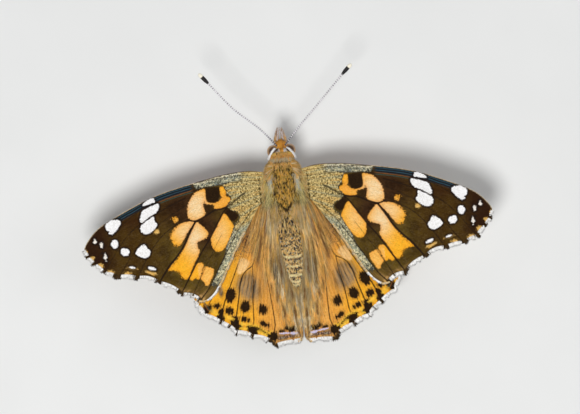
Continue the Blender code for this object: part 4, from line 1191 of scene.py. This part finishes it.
def makeBrow():
    # A close row of white hair round the rear rim of each eye, from the crown to the cheek, and behind it the
    # collar's hair, which covers the eye's inner side.
    random = np.random.default_rng(15)
    centre, half = np.array(eyeBall["centre"]), np.array(eyeBall["halfSizes"])
    collarCount, browCount = 1300, 1400
    for sideName, side in bothSides:
        rim = smoothCurve(((1.0, 8.45, 7.75), (1.3, 8.2, 7.95), (1.65, 7.8, 7.85), (1.95, 7.35, 7.4), (2.1, 7.0, 6.8),
                           (1.95, 6.95, 6.2), (1.5, 7.2, 5.7)), count=90)
        pick = random.integers(4, 46, collarCount)
        inward = unit(np.array([0.0, 7.3]) - rim[pick, :2]) * random.uniform(0.1, 1.0, collarCount)[:, None]
        spots = rim[pick, :2] + inward
        over = 1 - (((spots - centre[:2]) / half[:2]) ** 2).sum(1)
        height = np.maximum(centre[2] + half[2] * np.sqrt(np.maximum(over, 0)), rim[pick, 2] - 0.5) - 0.05
        start = np.column_stack([headShift + side * spots[:, 0], spots[:, 1], height])
        ways = unit(np.column_stack([side * (-0.15 + 0.15 * random.standard_normal(collarCount)),
                                     *np.tile([[-1.0], [-0.35]], collarCount)]))
        tints = headTint(np.minimum(start[:, 1] - 0.25, 7.7), np.full(collarCount, 1.2), random)
        uv = np.column_stack([pick / 100 + 0.03, random.random(collarCount) * 0.1 + 0.7 + 0.1 * side])
        hairMesh("nape_" + sideName, "body_hair", start, ways, np.tile((0, 0, 0.3), (collarCount, 1)),
                 random.uniform(0.5, 0.8, collarCount), 0.05, tints, uv, rootShade=0.3)
        pick = random.integers(0, 90, browCount)
        start = rim[pick] + 0.05 * random.standard_normal((browCount, 3))
        start[:, 0] = headShift + side * (start[:, 0] - 0.08)
        out = unit(start - (headShift, 7.6, 6.6))
        ways = unit(out + (0.0, -0.45, 0.0) + 0.1 * random.standard_normal((browCount, 3)))
        tints = tintsFrom(random, [np.ones(browCount)], [(0.97, 0.96, 0.94)], spread=0.03)
        uv = np.column_stack([pick / 100 + 0.03, random.random(browCount) * 0.1 + 0.4 + 0.05 * side])
        hairMesh("brow_" + sideName, "body_hair", start - 0.12 * out, ways, out * 0.1,
                 random.uniform(0.28, 0.4, browCount), 0.08, tints, uv, rootShade=0.0, tipLift=0.0)


# Hair on the wings, laid just over the membrane; a seed is raised or lowered by one for the right or left side
wingCoats = {
    "hindwingHair": {"seed": 21, "count": 11600, "width": 0.06, "scaled": (0.7, 1.2)},
    "forewingHair": {"seed": 31, "count": 1800, "width": 0.055, "scaled": (0.7, 1.2), "rings": 2},
    "shoulderHair": {"seed": 61, "count": 4900, "width": 0.06, "scaled": (0.6, 1.3), "lift": 0.36, "slot": "body_hair"},
}


def laidHair(kind, sideName, surface, densityAt, wayAt, lengthAt, tintAt):
    # Roots are drawn among the grid's own points by the density there, and shaken by less than a cell. A way
    # rises with the sheet, from its formula a millimetre ahead.
    coat, side, plan = wingCoats[kind], surface["side"], surface["plan"]
    random = np.random.default_rng(coat["seed"] + side)
    count, flat = coat["count"], plan.reshape(-1, 2)
    cellArea = np.abs(np.cross(np.gradient(plan, axis=0), np.gradient(plan, axis=1))).reshape(-1)
    weight = densityAt(*flat.T) * cellArea
    pick = random.choice(len(flat), count, p=weight / weight.sum())
    shake = random.uniform(-0.05, 0.05, (count, 2)) * (side, 1.0)
    roots = surface["top"][pick] + np.column_stack([shake, np.full(count, -0.015)])
    x, y = flat[pick].T
    across, rear = wayAt(x, y, random.standard_normal(count))
    ways = unit(np.column_stack(np.broadcast_arrays(side * across, rear, np.zeros(count))))
    ground = surface["ground"][pick]
    ways[:, 2] = sheetHeight(*(ground + ways[:, :2] * (side, 1.0)).T) - sheetHeight(*ground.T)
    lift = coat.get("lift", 0.10) * random.uniform(0.5, 1.4, count)
    lengths = lengthAt(x, y) * random.uniform(*coat["scaled"], count)
    name = kind + "_" + sideName
    hairMesh(name, coat.get("slot", "wing_scales"), roots, unit(ways), lift[:, None] * (0, 0, 1), lengths,
             coat["width"], tintAt(x, y, random), squareUv(flat[pick], flat, 0.95, 0.02), coat.get("rings", 3),
             flat=0.5, droop=0.42, rootShade=0.25)


def hindDensity(x, y):
    # Thick over the inner part, which narrows to the rear, and sparse in front of it.
    rearward = np.maximum(-7 - y, 0)
    near = 1 - ramp(x, 2.9 - 0.08 * rearward, 6.3 - 0.17 * rearward)
    rearEnd = np.maximum(ramp(y, -20.2, -17.0), 1.2 * (1 - ramp(x, 1.8, 2.4)))
    return near * rearEnd * (x > 0.4) + 0.04 * (x < 8) * (y > -7)


def hindWay(x, y, stray):
    # Along the straight rays from the wing's hub.
    return np.maximum(x - hindwing["hub"][0], -0.35) / (hindwing["hub"][1] - y) + 0.05 * stray, -1.0


def hindLength(x, y):
    # Long in front, and short at the rear edge.
    return (1.5 + 1.7 * ramp(y, -15, -6)) * (0.4 + 0.6 * ramp(y, -20, -15))


def hindTint(x, y, random):
    # Strands in clumps along the rays: olive inside, a warm lane beside it, a pale fold, and cream by the body.
    ray = rayAcross(hindwing, x, y)
    clump = cellDraw(ray[:, 0] / 0.21 + 50, ray[:, 1] / 1.7 + cellDraw(ray[:, 0] / 0.21, 7))
    glow = 0.7 + 0.65 * cellDraw(ray[:, 0] / 0.17 + 90, ray[:, 1] / 3.0)
    inner = 1 - ramp(x - 0.12 * np.minimum(y + 10, 0), 2.5, 4.0)
    lane = bell(x, 4.3, 0.7)
    inmost = (1 - ramp(x, 0.7, 1.5)) * ramp(-y, 11.0, 14.0)
    fold = bell(x, 3.45, 0.2) * ramp(y, -13.5, -11.5) * ramp(-y, 6.0, 8.0)
    clump = np.where(fold > 0.3, random.random(len(x)), clump)
    tints = tintsFrom(random, [
        0.7,
        1.1 * inner + 0.06 + fold,
        0.7 * (1 - inner) + 2.4 * lane,
        0.45 * (1 - inner) + 0.2,
        0.3,
        0.35 * inner + 1.0 * inmost + 1.5 * fold,
        1.8 * fold,
    ], [(0.83, 0.54, 0.19), (0.62, 0.46, 0.22), orangeTan, (0.34, 0.17, 0.055), (0.88, 0.5, 0.11), (0.82, 0.68, 0.44),
        darkBrown], spread=0.2, clump=clump)
    shaded = inner * ramp(-y, 3.0, 7.0) * (1 - 0.4 * ramp(-y, 16.0, 18.5))
    return tints * glow[:, None] * (1 - shaded[:, None] * (0.31, 0.33, 0.35))


def foreDensity(x, y):
    # A patch at the root, pointed outwards.
    return 1 - ramp(x + 0.25 * np.abs(y - 3.0), 2.8, 3.9)


def foreWay(x, y, stray):
    # Outwards, and turned to the rear with the distance behind the front edge.
    return 1.0, -0.25 - 0.16 * (4.5 - y) + 0.12 * stray


def foreLength(x, y):
    return 0.4 + 0.3 * (1 - ramp(x, 2.6, 3.6))


def foreTint(x, y, random):
    near = 1 - ramp(x, 3.0, 4.5)
    return tintsFrom(random, [0.5, 0.8 * near, 0.5 * (1 - near), 0.3 * (1 - near) + 0.05, 0.35],
                     [olive, tan, (0.68, 0.58, 0.32), darkBrown, greyTan])


# The thorax's long side hair lies back over the wing's root.
def shoulderDensity(x, y):
    return 1 - ramp(x, 2.2, 3.3)


def shoulderWay(x, y, stray):
    return 0.22 + 0.22 * stray, -1.0


def shoulderLength(x, y):
    return 1.1 + 1.5 * (1 - ramp(y, 0.8, 3.0))


def shoulderTint(x, y, random):
    # Grey and cream by the body, warm at the front, tan and olive between.
    inner, front = 1 - ramp(x, 1.9, 2.5), ramp(y, 3.9, 4.6)
    return tintsFrom(random, [(0.3 + 5.0 * bell(y, 3.8, 0.7)) * inner, 0.5 * inner, 0.5, 1.2 * front, 1.5,
                              0.45 * (1 - front), 0.2 * (1 - front)],
                     [(0.42, 0.49, 0.53), cream, tan, orangeTan, (0.76, 0.64, 0.28), olive, darkBrown], spread=0.2,
                     clump=cellDraw(x / 0.2, y / 1.2))


def makeWingHair(surfaces):
    for sideName, _ in bothSides:
        hind, fore = surfaces["hindwing_" + sideName], surfaces["forewing_" + sideName]
        laidHair("hindwingHair", sideName, hind, hindDensity, hindWay, hindLength, hindTint)
        laidHair("forewingHair", sideName, fore, foreDensity, foreWay, foreLength, foreTint)
        laidHair("shoulderHair", sideName, fore, shoulderDensity, shoulderWay, shoulderLength, shoulderTint)


# The fringe of each wing: how far it runs up the inner edge, and the length of its hair on the outer edge
fringes = {"forewing": {"inner": 0.62, "long": 0.72, "trim": 0.4, "seed": 41},
           "hindwing": {"inner": 0.04, "long": 0.82, "trim": 0.25, "seed": 51}}
hairsPerSpot = 7


def makeFringe(kind, sideName, wing, side, drop, sweep):
    # Short flat hairs in rows along the outer margin, white where the wing has its white scallops and dark at
    # the vein ends between them.
    fringe = fringes[kind]
    seed = fringe["seed"] + side
    random = np.random.default_rng(seed)
    line, outward = outerMargin(wing, wingSheet["fringe"] + 0.08)
    inner = smoothCurve(wing["trailing"], step=0.12)
    innerCount = int(len(inner) * fringe["inner"])
    innerOut = unit(np.gradient(inner, axis=0)[:, ::-1] * (-1, 1))[:innerCount]
    short = np.repeat((fringe["long"], 0.4), (len(line), innerCount))
    line = np.vstack([line, inner[:innerCount] - 0.25 * innerOut])
    outward = np.vstack([outward, innerOut])
    spots = np.repeat(np.arange(len(line)), hairsPerSpot)
    count = len(spots)
    tangent = unit(outward[:, ::-1] * (1, -1))[spots]
    base = line[spots] + tangent * random.uniform(-0.07, 0.07, count)[:, None]
    way = unit(outward[spots] + tangent * (0.16 * random.standard_normal(count))[:, None])
    pale = np.full(count, -1.0)
    for whiteRun in wing["whiteFringe"]:
        ends = np.reshape(whiteRun, (2, 2)).astype(float)
        trim = fringe["trim"] * unit(ends[1] - ends[0])
        pale = np.maximum(pale, 0.45 - pathDistance(base + way * 0.45, ends + np.array([trim, -trim])))
    isPale = ramp(pale + 0.08 * random.standard_normal(count), -0.05, 0.1)
    innerHair = spots >= len(line) - innerCount
    tints = tintsFrom(random, [isPale, (1 - isPale) * ~innerHair, (1 - isPale) * innerHair,
                               0.5 * (1 - isPale) * innerHair], [white, darkBrown, greyTan, tan], spread=0.08)
    ground = swept(base, sweep)
    ahead = swept(base + way, sweep) - ground
    if drop:
        ground = clearOfBelly(ground, side)
    height = sheetHeight(*ground.T) - drop + random.choice((-0.07, 0.0, 0.07), count, p=(0.3, 0.25, 0.45))
    rise = sheetHeight(*(ground + ahead).T) - drop - height
    tuft = cellDraw(spots / 3.5, seed)
    lengths = random.uniform(0.8, 1.05, count) * (0.6 + 0.7 * tuft) * short[spots]
    hairMesh(kind + "Fringe_" + sideName, "wing_scales", np.column_stack([side * ground[:, 0], ground[:, 1], height]),
             unit(np.column_stack([side * ahead[:, 0], ahead[:, 1], rise])), np.tile((0, 0, 0.05), (count, 1)), lengths,
             0.14, tints, squareUv(base, base, 0.95, 0.02), flat=0.3, taperPower=0.15, rootShade=0.0, tipLift=0.0)


def makeWings():
    # Both wings of a side, then their fringes; the left hindwing is swept in a little.
    materials = [wingUpperMaterial(), wingUnderMaterial()]
    surfaces = {}
    for sideName, side in bothSides:
        sweep = wingSheet["leftSweep"] if side < 0 else 0.0
        kinds = {"forewing": (forewing, side, 0.0, 0.0), "hindwing": (hindwing, side, wingSheet["hindwingDrop"], sweep)}
        faces = {"forewing": (forewingUpper, forewingUnder), "hindwing": (hindwingUpper, hindwingUnder)}
        for kind, placed in kinds.items():
            name = kind + "_" + sideName
            surfaces[name] = makeWing(name, *placed, *faces[kind], materials)
        for kind, placed in kinds.items():
            makeFringe(kind, sideName, *placed)
        print("wings made:", sideName)
    return surfaces


# Head parts
eyeBall = {"centre": (1.32, 8.05, 6.75), "halfSizes": (0.9, 0.95, 1.18)}
feelers = {
    "right": ((0.6, 8.5, 7.2), (1.15, 9.2, 7.8), (3.2, 11.4, 8.6), (7.0, 15.1, 9.6), (10.6, 18.7, 10.3),
              (12.15, 20.15, 10.5)),
    "left": ((-0.35, 8.5, 7.2), (-0.9, 9.3, 7.8), (-2.9, 11.7, 8.6), (-6.7, 15.2, 9.6), (-10.0, 19.3, 10.3),
             (-11.35, 20.95, 10.5)),
    "shaft": 0.135,
    "club": 0.3,
    "clubLength": 2.4,
}
palps = {"path": ((0.55, 8.5, 6.1), (0.6, 9.5, 6.2), (0.48, 10.5, 6.6), (0.27, 11.4, 7.1)), "hairs": 2600,
         "along": (0, 0.12, 0.45, 0.8, 1.0), "radii": (0.36, 0.4, 0.33, 0.2, 0.06)}


def makeEye(sideName, side):
    # An ellipsoid: latitude rings about the sideways axis.
    latitude = np.linspace(-0.48 * math.pi, 0.48 * math.pi, 40)[:, None]
    angle = turnAngles(56)[None]
    ball = np.stack(np.broadcast_arrays(side * np.sin(latitude), np.cos(latitude) * np.cos(angle),
                                        np.cos(latitude) * np.sin(angle)), axis=-1)
    shade = Shade("eye_" + sideName, 0.35, Coat_Weight=0.12, Coat_Roughness=0.2, Specular_IOR_Level=0.35)
    where = shade.place()
    facets, blotch = shade.facets(where, 17.0), shade.noise(where, 2.2)
    base = shade.layers(shade.mix(blotch.step(0.35, 0.65), (0.05, 0.018, 0.006), (0.12, 0.048, 0.015)),
                        ((shade.axis(where, 2) + blotch * 0.4).fall(7.6, 7.95),
                         shade.mix(blotch, (0.44, 0.23, 0.09), (0.7, 0.42, 0.18))),
                        (facets.step(0.3, 0.7) * 0.4, (0.02, 0.01, 0.005)))
    name = "eye_" + sideName
    centre = (headShift, 0, 0) + eyeBall["centre"] * np.array([side, 1, 1])
    closedTube(name, "eye", centre + eyeBall["halfSizes"] * ball,
               shade.finish(base, shade.bump(1 - facets, 0.02, 0.6)), [name])


def makeFeelers():
    # A thin ringed shaft that swells to a rounded club near its tip.
    shade = Shade("feeler", 0.6, Specular_IOR_Level=0.3)
    along, toTip = shade.value("along"), shade.value("toTip")
    beat = along.wave(0.36)
    rings = beat * 0.8 - 0.7 + 1.25 * along.step(0.5, 4.0) + (shade.noise(shade.place(), 3.0, 2.0) - 0.5) * 1.6
    base = shade.layers((0.06, 0.056, 0.056), (rings.step(-0.3, 0.3), (0.74, 0.71, 0.72)),
                        (toTip.fall(2.0, 2.3), (0.012, 0.01, 0.01)), (toTip.fall(0.66, 0.82), (0.93, 0.87, 0.7)))
    material = shade.finish(base, shade.bump(beat, 0.012, 0.6))
    for sideName, _ in bothSides:
        path = smoothCurve(feelers[sideName], step=0.06)
        left = lengthAlong(path[::-1])[::-1]
        profile = np.minimum(np.clip(1 - left / feelers["clubLength"], 0, 1) * 2.6, 1.0) * ramp(left, -0.32, 0.42)
        radii = feelers["shaft"] + (feelers["club"] - feelers["shaft"]) * profile
        radii *= np.where(left < 0.3, np.sqrt(np.clip(1 - ((0.3 - left) / 0.302) ** 2, 0.02, 1)), 1)
        name = "antenna_" + sideName
        closedTube(name, "antenna_scales", tubePoints(path, radii, 14), material, [name],
                   {"along": left[0] - left, "toTip": left})


def rootsRound(path, radii, pick, angle, sink):
    # On a tube, at the picked points and angles: roots sunk a little, the way to its tip, and the normal.
    way = unit(np.gradient(path, axis=0))[pick]
    across = unit(np.cross(way, (0.0, 0.0, 1.0)))
    normal = across * np.cos(angle)[:, None] + np.cross(across, way) * np.sin(angle)[:, None]
    return path[pick] + normal * (radii[pick] * sink)[:, None], way, normal


def makePalps():
    # A tapering finger curving up in front of the face, with scales that lie to its tip.
    material = hairMaterial("palpHair", rootShade=0.2)
    shade = Shade("palpSkin")
    skin = shade.finish(shade.mix(shade.noise(shade.place(), 10.0), (0.35, 0.26, 0.18), (0.62, 0.54, 0.46)))
    random = np.random.default_rng(61)
    count = palps["hairs"]
    for sideName, side in bothSides:
        path = smoothCurve(palps["path"], count=60) * (side, 1, 1) + (headShift, 0, 0)
        radii = np.interp(np.linspace(0, 1, 60), palps["along"], palps["radii"])
        closedTube("palp_" + sideName, "palp_scales", tubePoints(path, radii, 16), skin, ["palp_" + sideName])
        at = (57 * random.random(count) ** 1.25).astype(int).clip(1, 56)
        angle = random.uniform(0, fullTurn, count)
        roots, way, normal = rootsRound(path, radii, at, angle, 0.85)
        share = at / 57.0
        upper = ramp(np.sin(angle), -0.2, 0.4)
        rear = 1 - ramp(share, 0.35, 0.8)
        inward = -side * normal[:, 0]
        # The white stripe stops short of the side that faces the other palp, so the darker tints left there are painted
        # shade in the gap between the palps.
        inner = ramp(inward, -0.1, 0.3) * (1 - ramp(inward, 0.6, 0.85)) * ramp(share, 0.2, 0.35) * upper
        tints = tintsFrom(random, [1.8 * rear * upper * (1 - inner), 0.6 * bell(np.cos(angle), 0, 0.35) * upper,
                                   0.7 * (1 - rear) * (inward < 0.6) + 0.8 * (1 - upper) + 4.0 * inner,
                                   0.55 + (1 - rear) * (1 - inner)],
                          [(1.0, 0.58, 0.2), (0.36, 0.25, 0.17), (0.86, 0.79, 0.8), (0.52, 0.36, 0.24)])
        ways = unit(way + 0.15 * random.standard_normal((count, 3)))
        hairMesh("palpHair_" + sideName, "palp_scales", roots, ways, normal * 0.3, random.uniform(0.3, 0.55, count),
                 0.055, tints, roundUv(angle, share), material=material)


def makeTongue():
    # A stem and then a spiral whose radius falls evenly with its angle.
    turn = np.linspace(0, fullTurn * 2.1, 220)
    radius = np.linspace(0.62, 0.1, 220)
    stem, coil = np.linspace((9.22, 6.2), (9.22, 4.42), 30), np.column_stack([8.6 + radius * np.cos(turn),
                                                                              4.4 - radius * np.sin(turn)])
    path = np.insert(np.vstack([stem, coil]), 0, headShift, axis=1)
    sideways = np.tile((1.0, 0.0, 0.0), (len(path), 1))
    rings = ringsAcross(path, np.linspace(0.1, 0.06, len(path)), 12, sideways,
                        np.cross(sideways, unit(np.gradient(path, axis=0))))
    shade = Shade("tongue", 0.4, Specular_IOR_Level=0.4)
    beat = shade.value("along").wave(0.16)
    base = shade.mix(beat.step(-0.6, 0.8), (0.07, 0.035, 0.015), (0.2, 0.11, 0.045))
    closedTube("proboscis", "tongue", rings, shade.finish(base, shade.bump(beat, 0.01, 0.6)), ["proboscis"],
               {"along": np.arange(len(path)) * 0.06})


# Legs: hip, heading of the upright plane they bend in, and joints as reach and height in that plane
walkingLegs = {
    "midleg": {"hip": (1.0, 2.2), "heading": 12.0,
               "joints": ((0.0, 4.6), (4.4, 6.15), (6.3, 0.9), (6.9, 0.1), (9.5, 0.1))},
    "hindleg": {"hip": (0.8, 0.2), "heading": -50.0,
                "joints": ((0.0, 4.6), (5.4, 5.7), (8.5, 0.95), (9.2, 0.1), (12.1, 0.1))},
}
legShape = {"radii": (0.42, 0.24, 0.16, 0.12, 0.085), "hairs": 420, "thighHair": 0.42, "shinSpine": 0.32}
foreleg = {"path": ((0.75, 4.9, 5.1), (1.2, 6.4, 4.35), (1.28, 7.6, 4.4), (1.12, 8.55, 4.78)), "hairs": 900,
           "along": (0, 0.3, 0.7, 1.0), "radii": (0.24, 0.19, 0.15, 0.06)}


def makeLegs():
    # Brown scales, paler on the thigh, with dark rings on the foot.
    shade = Shade("legScales", 0.7, Specular_IOR_Level=0.3)
    where, along = shade.place(), shade.value("along")
    rings = (along * 80.0).math("SINE").step(0.2, 0.9)
    base = shade.layers(shade.mix(shade.noise(where, 5.0).step(0.35, 0.65), (0.3, 0.2, 0.11), (0.56, 0.44, 0.29)),
                        (along.fall(0.25, 0.5) * 0.45, (0.62, 0.57, 0.48)),
                        (rings * along.step(0.72, 0.76) * 0.4, (0.14, 0.09, 0.05)))
    material = shade.finish(base, shade.bump(shade.facets(where, 11.0), 0.03, 0.6))
    spineMaterial = hairMaterial("legSpines", rootShade=0.1)
    random = np.random.default_rng(71)
    for legName, leg in walkingLegs.items():
        for sideName, side in bothSides:
            makeWalkingLeg(legName + "_" + sideName, leg, side, random, material, spineMaterial)
    for sideName, side in bothSides:
        makeForeleg("foreleg_" + sideName, side, random, material, spineMaterial)


def makeWalkingLeg(name, leg, side, random, material, spineMaterial):
    # Straight stretches from joint to joint, rounded off by a running mean; the thigh swells by a bell, and the
    # foot has knuckles by the size of a sine. Hair stops short of the floor.
    heading = math.radians(leg["heading"])
    joints = np.array([(side * (leg["hip"][0] + r * math.cos(heading)), leg["hip"][1] + r * math.sin(heading), h)
                       for r, h in leg["joints"]])
    at = lengthAlong(joints)
    s = np.linspace(0, at[-1], 240)
    path = runningMean(evenly(joints, 240), 7)
    radii = np.interp(s, at, legShape["radii"]) + 0.07 * bell(s / at[1], 0.45, 0.4) * (s < at[1])
    knuckles = np.abs(np.sin(math.pi * (s - at[3]) / 0.55)) * (s > at[3])
    radii = np.maximum(radii * (1 - 0.25 * (1 - knuckles) * (s > at[3])), 0.05)
    path[:, 2] = np.maximum(path[:, 2], radii + 0.004)
    closedTube(name, "leg_scales", tubePoints(path, radii, 14), material, [name], {"along": s / at[-1]})
    count = legShape["hairs"]
    pick = random.integers(12, 236, count)
    angle = random.uniform(0, fullTurn, count)
    roots, way, normal = rootsRound(path, radii, pick, angle, 0.9)
    ways = unit(way + 0.2 * random.standard_normal((count, 3)))
    fall = np.maximum(-ways[:, 2], 0) + 0.13 * np.maximum(-normal[:, 2], 0) + 0.05
    shin = s[pick] > at[1]
    spines = np.where(shin, legShape["shinSpine"], legShape["thighHair"]) * random.uniform(0.6, 1.1, count)
    tints = tintsFrom(random, [0.7 * shin + 0.1, 0.5, 0.8 * ~shin], [(0.1, 0.06, 0.03), tan, white])
    keep = roots[:, 2] > 0.08
    parts = (roots, ways, normal * 0.35, np.minimum(spines, (roots[:, 2] - 0.04) / fall))
    hairMesh("legHair_" + name, "leg_scales", *(part[keep] for part in parts), 0.035, tints[keep],
             roundUv(angle, s[pick] / at[-1])[keep], material=spineMaterial)


def makeForeleg(name, side, random, material, spineMaterial):
    # Folded under the head, with long soft hair.
    path = smoothCurve(foreleg["path"], count=60) * (side, 1, 1)
    share = np.linspace(0, 1, 60)
    radii = np.interp(share, foreleg["along"], foreleg["radii"])
    closedTube(name, "leg_scales", tubePoints(path, radii, 12), material, [name], {"along": share * 0.6})
    count = foreleg["hairs"]
    pick = random.integers(2, 58, count)
    angle = random.uniform(0, fullTurn, count)
    roots, way, normal = rootsRound(path, radii, pick, angle, 0.8)
    tints = tintsFrom(random, [0.8, 0.5, np.full(count, 0.3)], [cream, white, tan])
    ways = unit(way + 0.2 * random.standard_normal((count, 3)))
    hairMesh("legHair_" + name, "leg_scales", roots, ways, normal * 0.4, random.uniform(0.25, 0.5, count), 0.04, tints,
             roundUv(angle, share[pick]), material=spineMaterial)


# Floor, light and camera. Lamps: place in metres, diameter, power. The camera looks straight down.
studio = {
    "floor": 4.0,         # metres across
    "wide": 89.3,         # millimetres seen across the picture
    "lens": 150.0,
    "sensor": 36.0,
    "tilt": 5.7,
    "aim": (0.60, -0.79, 9.0),
    "lamps": {"key": ((-0.05, -0.10, 0.33), 0.12, 0.86), "fill": ((0.22, 0.02, 0.22), 0.25, 0.15),
              "front": ((0.0, 0.25, 0.14), 0.2, 0.12)},
    "sky": (0.9, 0.93, 1.0),
    "skyStrength": 0.28,
}


def addToScene(name, data):
    made = bpy.data.objects.new(name, data)
    bpy.context.scene.collection.objects.link(made)
    return made


def makeStage():
    # A level floor, three round lamps that face the model, a pale sky, and the camera above.
    half = studio["floor"] / 2
    mesh = bpy.data.meshes.new("floor")
    corners = [(-half, -half, 0.0), (half, -half, 0.0), (half, half, 0.0), (-half, half, 0.0)]
    mesh.from_pydata(corners, [], [(0, 1, 2, 3)])
    shade = Shade("floor", 0.9)
    base = shade.mix(shade.noise(shade.place(), 0.05, 2.0), (0.74, 0.74, 0.72), (0.8, 0.8, 0.78))
    mesh.materials.append(shade.finish(base))
    addToScene("floor", mesh)
    for name, ((x, y, z), size, power) in studio["lamps"].items():
        lamp = bpy.data.lights.new(name, "AREA")
        lamp.shape, lamp.size, lamp.energy = "DISK", size, power
        holder = addToScene(name, lamp)
        holder.location = (x, y, z)
        holder.rotation_euler = (math.atan2(math.hypot(x, y), z), 0.0, math.atan2(x, -y))
    world = bpy.data.worlds.new("studio")
    world.use_nodes = True
    sky = world.node_tree.nodes["Background"].inputs
    sky["Color"].default_value, sky["Strength"].default_value = colour(studio["sky"]), studio["skyStrength"]
    bpy.context.scene.world = world
    bpy.context.scene.view_settings.view_transform = "Standard"
    camera = addToScene("camera", bpy.data.cameras.new("camera"))
    camera.data.lens, camera.data.sensor_width, camera.data.clip_start = studio["lens"], studio["sensor"], 0.01
    away = (0, bodyForward, studio["lens"] * studio["wide"] / studio["sensor"])
    camera.location = np.add(studio["aim"], away) * metresPerMm
    camera.rotation_euler = (0.0, 0.0, -math.radians(studio["tilt"]))
    bpy.context.scene.camera = camera
    print("stage made")


makeStage()
wingSurfaces = makeWings()
makeBody()
makeBodyCoats()
print("body made")
makeWingHair(wingSurfaces)
print("wing hair made")
for eyeSide, eyeSign in bothSides:
    makeEye(eyeSide, eyeSign)
makeFeelers()
makePalps()
makeTongue()
makeLegs()
print("head and legs made")
